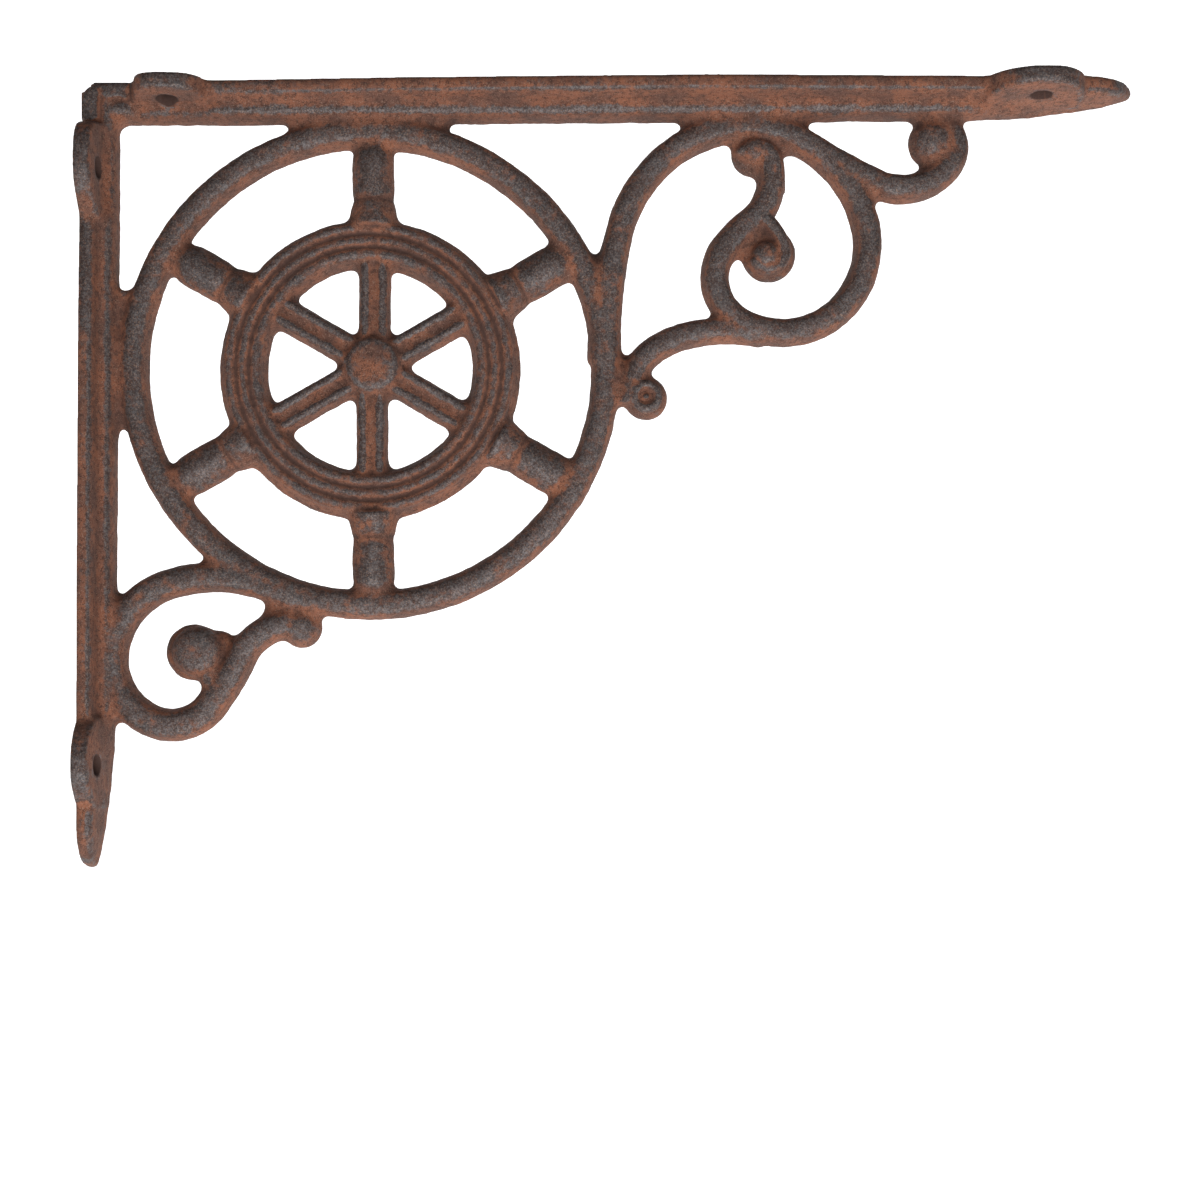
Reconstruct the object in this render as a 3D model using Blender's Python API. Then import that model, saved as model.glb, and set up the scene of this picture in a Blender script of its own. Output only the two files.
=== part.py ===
"""Cast iron shelf bracket with a ship's wheel and scrolls, one casting.

Metres, +Z up. The bracket lies in the XZ plane: the wall arm runs down the
left side with its mounting face at X = 0, and the shelf arm runs along the
top with its mounting face at Z = SHELF_Z. The viewer stands on the -Y side.
The origin is on the wall face, in the middle of the arm's depth and half way
between the two wall screws.
"""

import math

import bmesh
import bpy
from mathutils import Matrix, Vector

MM = 0.001

# Arms: mounting straps with a flat outer face, an edge that stands forward
# and a lower rib that carries the ironwork.
SHELF_LENGTH = 291.5 * MM
WALL_LENGTH = 217.5 * MM
STRAP_DEPTH = 14.0 * MM
SHELF_DEPTHS = (10.6 * MM, 16.6 * MM, 15.0 * MM)
WALL_DEPTHS = (12.2 * MM, 15.6 * MM, 16.2 * MM)
STRAP_EDGE = 3.9 * MM
RIB_HEIGHT = 8.2 * MM
SHELF_RIB_FOOT = (10.0 * MM, 8.4 * MM)
WALL_RIB_FOOT = (9.2 * MM, 8.0 * MM)
CORNER_LENGTH = 13.5 * MM
CORNER_DEPTH = 8.6 * MM
CORNER_CUT = 1.7 * MM
TONGUE_LENGTH = 19.0 * MM
SHELF_TIP = (17.0 * MM, 0.62)
WALL_TIP = (12.0 * MM, 0.5)

# Screw ears: oval pads about the screw holes. Each has the screw's rise, half
# the pad's length along the arm and how far it stands above the screw.
NEAR_SCREW = 24.5 * MM
WALL_SCREW_SPACING = 164.0 * MM
SHELF_NEAR_SCREW = 23.8 * MM
SHELF_SCREW_SPACING = 239.7 * MM
SHELF_NEAR_EAR = (10.4 * MM, 10.2 * MM, 8.2 * MM)
SHELF_FAR_EAR = (15.0 * MM, 13.2 * MM, 10.0 * MM)
WALL_NEAR_EAR = (12.0 * MM, 12.2 * MM, 8.6 * MM)
WALL_FAR_EAR = (14.5 * MM, 12.0 * MM, 9.1 * MM)
RIB_END = 16.0 * MM
EAR_EDGE = 4.3 * MM
EAR_SLOPE = 0.12
SCREW_HOLE = 6.0 * MM

# The origin stands between the wall screws, in the middle of the strap.
SHELF_Z = NEAR_SCREW + WALL_SCREW_SPACING / 2
BACK_Y = STRAP_DEPTH / 2

# Ring and ship's wheel, centred nearly the same way from wall and shelf. The
# hub and handles sit a little off the ring's centre, as they were cast.
WHEEL_X = 79.1 * MM
WHEEL_Z = -78.6 * MM
HUB_SHIFT = (1.0 * MM, 0.6 * MM)
HANDLE_SHIFT = (1.0 * MM, -0.2 * MM)
RING_RADIUS = 65.7 * MM
RING_WIDTH = 8.4 * MM
RING_HEIGHT = 7.6 * MM
RIM_INNER = 28.1 * MM
RIM_OUTER = 42.5 * MM
RIM_HEIGHT = 8.2 * MM
RIM_DRAFT = 3.4 * MM
RIM_GROOVE = 0.9 * MM
RIM_CRESTS = (31.5 * MM, 35.0 * MM, 38.6 * MM)
SPOKES = 6
SPOKE_SHIFTS = (0.0, -0.6 * MM, -0.3 * MM, -0.4 * MM, 0.0, 0.0)
SPOKE_WIDTH = 9.0 * MM
SPOKE_HEIGHT = 7.0 * MM
SPOKE_GROOVE = 0.9 * MM
HUB_RADIUS = 8.0 * MM
HUB_HEIGHT = 9.2 * MM
HANDLE_AXIS = 2.6 * MM
HANDLE_NECK = 5.0 * MM
HANDLE_BARREL = 5.9 * MM
HANDLE_COLLAR = 6.7 * MM
HANDLE_END = 63.6 * MM

# Scroll bars: half their width at the back, and how far they rise.
BAR_HALF = 4.1 * MM
BAR_HEIGHT = 7.8 * MM
STEP_LENGTH = 3.4 * MM
STEP_ANGLE = math.radians(15)

# Facets that meet at less than this angle are one smooth surface.
SHARP_ANGLE = math.radians(38)

# The back is cast flat: every form starts this far behind it and is trimmed.
OVERCUT = 1.0 * MM
TRIM_MARGIN = 20.0 * MM

RING_STEPS = 64
RIM_STEPS = 54
TURNED_STEPS = 18
HOLE_SIDES = 28


def place(x, z, rise):
    """Return the world point at x from the wall, z from the shelf and rise from the back."""
    return Vector((x, BACK_Y - rise, SHELF_Z + z))


def new_object(name, bm):
    """Make an object of a finished bmesh, its faces turned outwards."""
    bmesh.ops.remove_doubles(bm, verts=bm.verts, dist=1e-6)
    bmesh.ops.recalc_face_normals(bm, faces=bm.faces)
    mesh = bpy.data.meshes.new(name)
    bm.to_mesh(mesh)
    bm.free()
    mesh.shade_smooth()
    mesh.set_sharp_from_angle(angle=SHARP_ANGLE)
    obj = bpy.data.objects.new(name, mesh)
    bpy.context.scene.collection.objects.link(obj)
    return obj


def loft(name, sections):
    """Skin a closed solid over a row of sections with the same number of points."""
    bm = bmesh.new()
    loops = [[bm.verts.new(point) for point in section] for section in sections]
    for near, far in zip(loops, loops[1:]):
        count = len(near)
        for i in range(count):
            after = (i + 1) % count
            bm.faces.new([near[i], near[after], far[after], far[i]])
    bm.faces.new(loops[0])
    bm.faces.new(loops[-1])
    return new_object(name, bm)


def bar_section(half, height):
    """Return the rounded section of a bar as (across, rise) pairs, left foot to right foot."""
    flank = [(1.0, -OVERCUT / height), (1.0, 0.0), (0.93, 0.40), (0.70, 0.79), (0.36, 0.96)]
    left = [(-a * half, r * height) for a, r in flank]
    crown = [(0.0, height)]
    right = [(a * half, r * height) for a, r in reversed(flank)]
    return left + crown + right


def section_at(point, heading, pairs):
    """Set (across, rise) pairs square to a heading in the bracket's plane."""
    across = Vector((-math.sin(heading), math.cos(heading)))
    return [place(point.x + across.x * a, point.y + across.y * a, r) for a, r in pairs]


def swept_bar(name, start, heading, arcs, half=BAR_HALF, height=BAR_HEIGHT):
    """Sweep a bar along a chain of tangent arcs.

    start is (x, z) from wall and shelf, heading is in radians from +X towards +Z,
    and each arc is (radius, sweep in degrees, half width at its end, rise at its end).
    """
    point = Vector(start)
    sections = [section_at(point, heading, bar_section(half, height))]
    for radius, sweep, end_half, end_height in arcs:
        turn = math.radians(sweep)
        steps = max(2, math.ceil(min(abs(turn) * radius / STEP_LENGTH, 2 * abs(turn) / STEP_ANGLE)))
        side = math.copysign(radius, turn)
        pivot = point + side * Vector((-math.sin(heading), math.cos(heading)))
        for step in range(1, steps + 1):
            share = step / steps
            now = heading + turn * share
            point = pivot - side * Vector((-math.sin(now), math.cos(now)))
            half_now = half + (end_half - half) * share
            height_now = height + (end_height - height) * share
            sections.append(section_at(point, now, bar_section(half_now, height_now)))
        heading += turn
        half, height = end_half, end_height
    return loft(name, sections)


def turned(name, profile, centre, axis, steps):
    """Spin (radius, height) pairs about an axis through centre into a closed solid."""
    axis = Vector(axis).normalized()
    side = axis.orthogonal().normalized()
    bm = bmesh.new()
    points = [centre + side * radius + axis * height for radius, height in profile]
    verts = [bm.verts.new(point) for point in points]
    edges = [bm.edges.new(pair) for pair in zip(verts, verts[1:])]
    bmesh.ops.spin(
        bm, geom=verts + edges, cent=centre, axis=axis, angle=math.tau, steps=steps, use_merge=True
    )
    bmesh.ops.remove_doubles(bm, verts=bm.verts, dist=1e-6)
    return new_object(name, bm)


def button(name, x, z, radius, height):
    """Make a domed button standing on the back plane, the eye of a scroll."""
    profile = [(0, -OVERCUT), (radius, -OVERCUT), (radius, 0.0), (radius * 0.94, height * 0.42)]
    profile += [(radius * 0.72, height * 0.78), (radius * 0.38, height * 0.96), (0, height)]
    return turned(name, profile, place(x, z, 0), (0, -1, 0), TURNED_STEPS)


def hoop(name, pairs, radius, steps):
    """Spin a closed section of (across, rise) pairs round the wheel's centre."""
    bm = bmesh.new()
    start = Vector((WHEEL_X + radius, WHEEL_Z))
    points = section_at(start, math.pi / 2, pairs)
    verts = [bm.verts.new(point) for point in points]
    edges = [bm.edges.new(pair) for pair in zip(verts, verts[1:] + verts[:1])]
    centre = place(WHEEL_X, WHEEL_Z, 0)
    bmesh.ops.spin(
        bm, geom=verts + edges, cent=centre, axis=(0, 1, 0), angle=math.tau, steps=steps, use_merge=True
    )
    return new_object(name, bm)


def make_ring():
    """Make the outer ring that the handles end on."""
    return hoop("ring", bar_section(RING_WIDTH / 2, RING_HEIGHT), RING_RADIUS, RING_STEPS)


def make_rim():
    """Make the wheel's broad rim with drafted sides and rounded ridges."""
    middle = (RIM_INNER + RIM_OUTER) / 2
    half = (RIM_OUTER - RIM_INNER) / 2
    crests = [radius - middle for radius in RIM_CRESTS]
    pairs = [(-half, -OVERCUT), (-half, 0.0), (crests[0], RIM_HEIGHT)]
    for before, crest in zip(crests, crests[1:]):
        pairs.append(((before + crest) / 2, RIM_HEIGHT - RIM_GROOVE))
        pairs.append((crest, RIM_HEIGHT))
    pairs += [(half, 0.0), (half, -OVERCUT)]
    return hoop("rim", pairs, middle, RIM_STEPS)


def shifted_centre(shift):
    """Return the wheel's centre moved by a cast shift, as (x, z)."""
    return Vector((WHEEL_X + shift[0], WHEEL_Z + shift[1]))


def make_hub():
    """Make the round hub boss with its low domed front."""
    profile = [(0, -OVERCUT), (HUB_RADIUS * 1.18, -OVERCUT), (HUB_RADIUS * 1.18, 0.0)]
    profile += [(HUB_RADIUS, SPOKE_HEIGHT), (HUB_RADIUS * 0.82, HUB_HEIGHT * 0.93), (0, HUB_HEIGHT)]
    centre = shifted_centre(HUB_SHIFT)
    return turned("hub", profile, place(centre.x, centre.y, 0), (0, -1, 0), TURNED_STEPS)


def make_spoke(number, angle):
    """Make one straight spoke with two ridges and the groove between them."""
    half = SPOKE_WIDTH / 2
    crest = half * 0.52
    pairs = [(-half, -OVERCUT), (-half, 0.0), (-half * 0.84, SPOKE_HEIGHT * 0.78), (-crest, SPOKE_HEIGHT)]
    pairs += [(0.0, SPOKE_HEIGHT - SPOKE_GROOVE)]
    pairs += [(-across, rise) for across, rise in reversed(pairs[:4])]
    direction = Vector((math.cos(angle), math.sin(angle)))
    sideways = Vector((-direction.y, direction.x)) * SPOKE_SHIFTS[number - 1]
    centre = shifted_centre(HUB_SHIFT) + sideways
    near = centre + direction * HUB_RADIUS * 0.5
    far = centre + direction * (RIM_INNER + RIM_DRAFT * 0.8)
    return loft(f"spoke_{number}", [section_at(near, angle, pairs), section_at(far, angle, pairs)])


def make_handle(number, angle):
    """Make one turned handle: collar, neck, barrel and domed end on the ring."""
    foot = RIM_OUTER - RIM_DRAFT
    shoulder = RIM_OUTER + 3.6 * MM
    neck = shoulder + 1.2 * MM
    profile = [(0, foot), (HANDLE_COLLAR * 1.12, foot), (HANDLE_COLLAR, RIM_OUTER)]
    profile += [(HANDLE_BARREL, shoulder), (HANDLE_NECK, neck), (HANDLE_BARREL, neck + 3.2 * MM)]
    profile += [(HANDLE_BARREL * 0.98, HANDLE_END - 5.4 * MM), (HANDLE_BARREL * 0.84, HANDLE_END - 2.4 * MM)]
    profile += [(HANDLE_BARREL * 0.50, HANDLE_END - 0.5 * MM), (0, HANDLE_END)]
    axis = (math.cos(angle), 0, math.sin(angle))
    centre = shifted_centre(HANDLE_SHIFT)
    pivot = place(centre.x, centre.y, HANDLE_AXIS)
    return turned(f"handle_{number}", profile, pivot, axis, TURNED_STEPS - 4)


def strap_section(depth, edge, foot, rib):
    """Return a strap's section as (from the outer face, rise) pairs.

    rib runs from 0, a plain drafted plate, to 1, a plate with its whole rib.
    """
    bevel = min(edge, depth) * 0.2
    section = [(0, -OVERCUT), (0, depth - bevel), (bevel, depth), (edge - bevel, depth)]
    section.append((edge, depth - bevel))
    for share, height in ((0.22, 0.95), (0.50, 1.04), (0.76, 0.95), (0.92, 0.72)):
        plate = depth * (1 - share)
        rise = plate + (RIB_HEIGHT * height - plate) * rib
        section.append((edge + (foot - edge) * share, rise))
    return section + [(foot, 0), (foot, -OVERCUT)]


def strap_stations(length, screws, feet, depths, tip):
    """Return the stations of one strap as (distance, section) pairs, corner to tip."""
    near_foot, far_foot = feet
    near_depth, middle_depth, far_depth = depths
    tip_length, tip_round = tip
    near_screw, far_screw = screws
    corner = strap_section(CORNER_DEPTH, STRAP_EDGE, near_foot, 1)
    stations = [(0, corner), (CORNER_LENGTH - 0.4 * MM, corner)]
    stations.append((CORNER_LENGTH, strap_section(near_depth, STRAP_EDGE, near_foot, 1)))
    stations.append((near_screw + RIB_END, strap_section(near_depth, STRAP_EDGE, near_foot, 1)))
    middle_foot = (near_foot + far_foot) / 2
    stations.append((length * 0.6, strap_section(middle_depth, STRAP_EDGE, middle_foot, 1)))
    stations.append((far_screw - RIB_END, strap_section(far_depth, STRAP_EDGE, far_foot, 1)))
    for share in (0.0, 0.25, 0.5, 0.65, 0.78, 0.88, 0.95, 1.0):
        distance = length - TONGUE_LENGTH * (1 - share)
        over = max(0.0, 1 - (length - distance) / tip_length)
        depth = far_depth * max((1 - over * over) ** tip_round, 0.14)
        foot = far_foot * (0.78 - 0.27 * share - 0.17 * share**3)
        edge = min(EAR_EDGE, foot * 0.8)
        stations.append((distance, strap_section(depth, edge, foot, 0)))
    return stations


def make_strap(name, stations, along_wall):
    """Loft one arm from the corner to the tip of its tongue."""
    sections = []
    for distance, section in stations:
        if along_wall:
            sections.append([place(out, -distance, rise) for out, rise in section])
        else:
            sections.append([place(distance, -out, rise) for out, rise in section])
    return loft(name, sections)


def make_ear(name, screw, ear, along_wall):
    """Make an oval screw pad, flat outside and drafted inside."""
    rise, half_length, height = ear
    bm = bmesh.new()
    bmesh.ops.create_cone(bm, cap_ends=True, segments=HOLE_SIDES, radius1=1.0, radius2=1.0, depth=1.0)
    for vert in bm.verts:
        along, up = vert.co.x * half_length, rise + vert.co.y * height
        out = EAR_EDGE + (rise + height - up) * EAR_SLOPE if vert.co.z > 0 else 0
        if along_wall:
            vert.co = place(out, -(screw + along), up)
        else:
            vert.co = place(screw + along, -out, up)
    return new_object(name, bm)


def make_drill(name, screw, rise, along_wall):
    """Make the cutter for one screw hole, square to its mounting face."""
    bm = bmesh.new()
    bmesh.ops.create_cone(
        bm,
        cap_ends=True,
        segments=HOLE_SIDES,
        radius1=SCREW_HOLE / 2,
        radius2=SCREW_HOLE / 2,
        depth=TRIM_MARGIN * 2,
    )
    turn = Matrix.Rotation(math.pi / 2, 4, "Y") if along_wall else Matrix.Identity(4)
    spot = place(0, -screw, rise) if along_wall else place(screw, 0, rise)
    bmesh.ops.transform(bm, matrix=Matrix.Translation(spot) @ turn, verts=bm.verts)
    return new_object(name, bm)


def make_block(name, low, high):
    """Make a box between two world corners."""
    bm = bmesh.new()
    bmesh.ops.create_cube(bm, size=1.0)
    size = high - low
    middle = (high + low) / 2
    bmesh.ops.scale(bm, vec=size, verts=bm.verts)
    bmesh.ops.translate(bm, vec=middle, verts=bm.verts)
    return new_object(name, bm)


def make_corner_cut():
    """Make the cutter that takes the sharp outer corner off where the arms meet."""
    bm = bmesh.new()
    bmesh.ops.create_cube(bm, size=TRIM_MARGIN * 2)
    slope = Matrix.Rotation(math.pi / 4, 4, "Y")
    reach = TRIM_MARGIN - CORNER_CUT
    spot = place(-reach * math.sqrt(0.5), reach * math.sqrt(0.5), 0)
    bmesh.ops.transform(bm, matrix=Matrix.Translation(spot) @ slope, verts=bm.verts)
    return new_object("corner_cut", bm)


def make_webs():
    """Make the fillets of iron between the ring and the two arms, and the solid corner."""
    deep = 12.0 * MM
    rise = 5.0 * MM
    shelf_middle, shelf_half = 78.2 * MM, 21.5 * MM
    wall_middle, wall_half = -74.4 * MM, 17.6 * MM
    corner = 10.8 * MM
    inset = 0.5 * MM
    return [
        make_block(
            "web_shelf",
            place(shelf_middle - shelf_half, -deep, rise),
            place(shelf_middle + shelf_half, -inset, -OVERCUT),
        ),
        make_block(
            "web_wall",
            place(inset, wall_middle - wall_half, rise),
            place(deep, wall_middle + wall_half, -OVERCUT),
        ),
        make_block(
            "corner",
            place(inset, -corner, RIB_HEIGHT * 0.8),
            place(corner, -inset, -OVERCUT),
        ),
    ]


def make_scrolls():
    """Make the scroll bars and their eyes."""
    half, height = BAR_HALF, BAR_HEIGHT
    up, down = math.radians(90.4), math.radians(321)
    parts = []
    great = [
        (146 * MM, -14.5, half, height),
        (39 * MM, -45, half * 1.02, height),
        (33.4 * MM, -57, half, height),
        (35.4 * MM, -50, half * 1.02, height),
        (24.7 * MM, -71, half, height),
        (23.0 * MM, -67, half * 0.95, height),
        (13.7 * MM, -91, half * 1.05, height),
        (32.5 * MM, -18, half * 1.05, height),
        (15.5 * MM, 40, half, height),
        (12.5 * MM, 48, half, height * 0.9),
    ]
    great_start = (144.4 * MM, -76.5 * MM)
    parts.append(swept_bar("great_scroll", great_start, up, great, half * 1.2))
    tail = [
        (157 * MM, 8, half, height),
        (16.8 * MM, 80, half, height),
        (7.9 * MM, 80, half * 0.8, height * 0.85),
    ]
    parts.append(swept_bar("tail_scroll", (201.0 * MM, -16.1 * MM), math.radians(327), tail))
    link = [
        (60.0 * MM, -6, half * 0.95, height),
        (13.2 * MM, -49, half * 0.95, height),
        (30.5 * MM, -23, half * 0.95, height),
        (44.6 * MM, -25, half * 0.82, height * 0.9),
    ]
    parts.append(swept_bar("link_scroll", (151.9 * MM, -88.5 * MM), math.radians(88), link))
    low = [
        (46.0 * MM, -26, half, height),
        (41.3 * MM, 41, half * 1.08, height),
        (22.8 * MM, 62, half * 1.15, height),
        (18.6 * MM, 77, half * 1.16, height),
        (13.7 * MM, 74, half * 1.16, height),
        (74.0 * MM, 13, half * 1.03, height),
        (16.2 * MM, -62, half * 0.95, height),
    ]
    parts.append(swept_bar("low_scroll", (72.0 * MM, -143.4 * MM), math.radians(183), low))
    low_neck = [
        (11.2 * MM, 45, half * 0.85, height * 0.9),
        (10.3 * MM, 50, half, height * 0.9),
    ]
    neck_start = (33.3 * MM, -174.1 * MM)
    parts.append(swept_bar("low_neck", neck_start, math.radians(54), low_neck, half * 0.8, height * 0.8))
    snail = [
        (16.1 * MM, -34, half * 0.56, height),
        (4.9 * MM, -107, half * 0.54, height),
        (4.2 * MM, -90, half * 0.46, height * 1.02),
        (3.1 * MM, -120, half * 0.40, height * 1.04),
    ]
    parts.append(swept_bar("snail_ridge", (189.0 * MM, -37.0 * MM), down, snail, half * 0.56, height))
    parts.append(button("snail_disc", 190.4 * MM, -46.6 * MM, 7.6 * MM, 6.4 * MM))
    parts.append(button("upper_eye", 185.6 * MM, -17.6 * MM, 6.0 * MM, 8.6 * MM))
    parts.append(button("tail_eye", 235.9 * MM, -15.2 * MM, 6.2 * MM, 8.4 * MM))
    parts.append(button("link_eye", 156.0 * MM, -86.6 * MM, 6.1 * MM, 8.2 * MM))
    parts.append(button("low_eye", 30.0 * MM, -157.2 * MM, 7.8 * MM, 8.8 * MM))
    parts.append(button("low_web", 37.2 * MM, -157.0 * MM, 5.4 * MM, 5.0 * MM))
    parts.append(button("low_root", 53.0 * MM, -147.0 * MM, 4.0 * MM, 5.6 * MM))
    parts.append(button("low_knob", 59.8 * MM, -150.4 * MM, 5.4 * MM, 8.2 * MM))
    return parts


def make_wheel():
    """Make the ring, rim, hub, spokes and handles."""
    parts = [make_ring(), make_rim(), make_hub()]
    for number in range(SPOKES):
        angle = math.pi / 2 + number * math.tau / SPOKES
        parts.append(make_spoke(number + 1, angle))
        parts.append(make_handle(number + 1, angle))
    return parts


def make_material():
    """Make the rust-brown cast iron finish."""
    material = bpy.data.materials.new("cast_iron")
    material.use_nodes = True
    shader = material.node_tree.nodes["Principled BSDF"]
    shader.inputs["Base Color"].default_value = (0.13, 0.067, 0.045, 1.0)
    shader.inputs["Roughness"].default_value = 0.7
    shader.inputs["Metallic"].default_value = 0.35
    return material


def combine(body, forms, operation, name):
    """Join or cut the body with a group of forms, which become wire guides."""
    group = bpy.data.collections.new(name)
    bpy.context.scene.collection.children.link(group)
    for form in forms:
        bpy.context.scene.collection.objects.unlink(form)
        group.objects.link(form)
        form.hide_render = True
        form.display_type = "WIRE"
    modifier = body.modifiers.new(name, "BOOLEAN")
    modifier.operation = operation
    modifier.solver = "EXACT"
    modifier.operand_type = "COLLECTION"
    modifier.collection = group


def main():
    """Build the bracket as one casting."""
    for obj in list(bpy.data.objects):
        bpy.data.objects.remove(obj)

    shelf_screws = (SHELF_NEAR_SCREW, SHELF_NEAR_SCREW + SHELF_SCREW_SPACING)
    wall_screws = (NEAR_SCREW, NEAR_SCREW + WALL_SCREW_SPACING)
    shelf = strap_stations(SHELF_LENGTH, shelf_screws, SHELF_RIB_FOOT, SHELF_DEPTHS, SHELF_TIP)
    wall = strap_stations(WALL_LENGTH, wall_screws, WALL_RIB_FOOT, WALL_DEPTHS, WALL_TIP)
    casting = make_strap("bracket_casting", shelf, False)
    casting.data.materials.append(make_material())
    joined = [make_strap("wall_strap", wall, True)]
    drills = []
    screws = [
        ("shelf_near", shelf_screws[0], SHELF_NEAR_EAR, False),
        ("shelf_far", shelf_screws[1], SHELF_FAR_EAR, False),
        ("wall_near", wall_screws[0], WALL_NEAR_EAR, True),
        ("wall_far", wall_screws[1], WALL_FAR_EAR, True),
    ]
    for name, screw, ear, along_wall in screws:
        joined.append(make_ear(f"{name}_ear", screw, ear, along_wall))
        drills.append(make_drill(f"{name}_drill", screw, ear[0], along_wall))
    joined += make_webs() + make_wheel() + make_scrolls()
    combine(casting, joined, "UNION", "joined_forms")
    low = place(-TRIM_MARGIN, -WALL_LENGTH - TRIM_MARGIN, 0)
    high = place(SHELF_LENGTH + TRIM_MARGIN, TRIM_MARGIN, -TRIM_MARGIN)
    cutters = [make_block("back_trim", low, high), make_corner_cut()] + drills
    combine(casting, cutters, "DIFFERENCE", "cutters")


main()
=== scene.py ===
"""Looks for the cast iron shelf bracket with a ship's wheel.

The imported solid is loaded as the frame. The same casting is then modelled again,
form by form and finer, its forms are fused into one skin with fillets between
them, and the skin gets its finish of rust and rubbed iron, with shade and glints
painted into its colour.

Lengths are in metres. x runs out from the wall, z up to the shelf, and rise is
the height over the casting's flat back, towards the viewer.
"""

import logging
import math
from collections.abc import Sequence
from dataclasses import dataclass, field
from enum import Enum

import bmesh
import bpy
import numpy as np
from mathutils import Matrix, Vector

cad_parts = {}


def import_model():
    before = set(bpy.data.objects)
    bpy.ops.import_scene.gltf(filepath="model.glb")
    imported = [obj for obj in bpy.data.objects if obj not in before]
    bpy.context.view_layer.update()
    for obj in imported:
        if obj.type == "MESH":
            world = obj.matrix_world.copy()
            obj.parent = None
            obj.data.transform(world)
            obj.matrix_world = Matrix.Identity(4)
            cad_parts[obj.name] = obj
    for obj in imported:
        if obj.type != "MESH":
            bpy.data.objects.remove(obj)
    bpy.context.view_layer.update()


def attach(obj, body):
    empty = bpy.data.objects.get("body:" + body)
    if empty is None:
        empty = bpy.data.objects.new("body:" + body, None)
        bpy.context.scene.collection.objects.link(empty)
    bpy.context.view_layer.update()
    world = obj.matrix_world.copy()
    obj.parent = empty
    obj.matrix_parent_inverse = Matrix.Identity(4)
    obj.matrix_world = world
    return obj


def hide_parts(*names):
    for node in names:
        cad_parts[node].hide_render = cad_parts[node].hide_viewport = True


LOG = logging.getLogger("shelf_bracket")

MM = 0.001
NODE = "bracket_casting"
SLOT = "cast_iron"
SKIN = "casting_skin"

Pairs = Sequence[tuple[float, float]]
Points = list[Vector]
Span = tuple[float, float]
Colour = tuple[float, float, float, float]

FORWARD = Vector((0, -1, 0))

# Half of a bar's section, from its foot to its crown, as shares of its half width and its rise.
BAR_SIDE = (
    (1.0, 0.0),
    (0.97, 0.22),
    (0.90, 0.48),
    (0.81, 0.70),
    (0.71, 0.86),
    (0.57, 0.95),
    (0.38, 0.985),
    (0.19, 0.998),
)
BAR_SHAPE = BAR_SIDE + ((0.0, 1.0),) + tuple((-side, up) for side, up in reversed(BAR_SIDE))

# The strap's inner side, from its edge to its foot: how far along it is, how much of it is
# still wall, and the rib's height there as a share of its full height.
RIB_SIDE = (
    (0.08, 0.55, 1.0),
    (0.16, 0.16, 1.0),
    (0.27, 0.0, 0.95),
    (0.40, 0.0, 1.02),
    (0.52, 0.0, 1.05),
    (0.64, 0.0, 1.03),
    (0.78, 0.0, 0.95),
    (0.90, 0.0, 0.78),
    (0.97, 0.0, 0.42),
)


class Arm(Enum):
    """The bracket's two arms."""

    SHELF = "shelf"
    WALL = "wall"


@dataclass(frozen=True)
class Drawing:
    """The bracket's main sizes and the way from the drawing to the world."""

    back_y: float = 7.0 * MM
    shelf_z: float = 106.5 * MM
    front_y: float = -18.0 * MM
    shelf_length: float = 291.5 * MM
    wall_length: float = 217.5 * MM

    def place(self, x: float, z: float, rise: float) -> Vector:
        """Give a point's place in the world.

        Args:
            x: distance from the wall face.
            z: distance from the shelf face, negative below it.
            rise: height over the back.

        Returns:
            The point in world coordinates.
        """
        return Vector((x, self.back_y - rise, self.shelf_z + z))

    def on_arm(self, arm: Arm, along: float, out: float, rise: float) -> Vector:
        """Give the place of a point on an arm.

        Args:
            arm: the arm.
            along: distance from the corner along the arm.
            out: depth in from the arm's mounting face.
            rise: height over the back.

        Returns:
            The point in world coordinates.
        """
        if arm is Arm.WALL:
            return self.place(out, -along, rise)
        return self.place(along, -out, rise)


DRAWING = Drawing()


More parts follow.
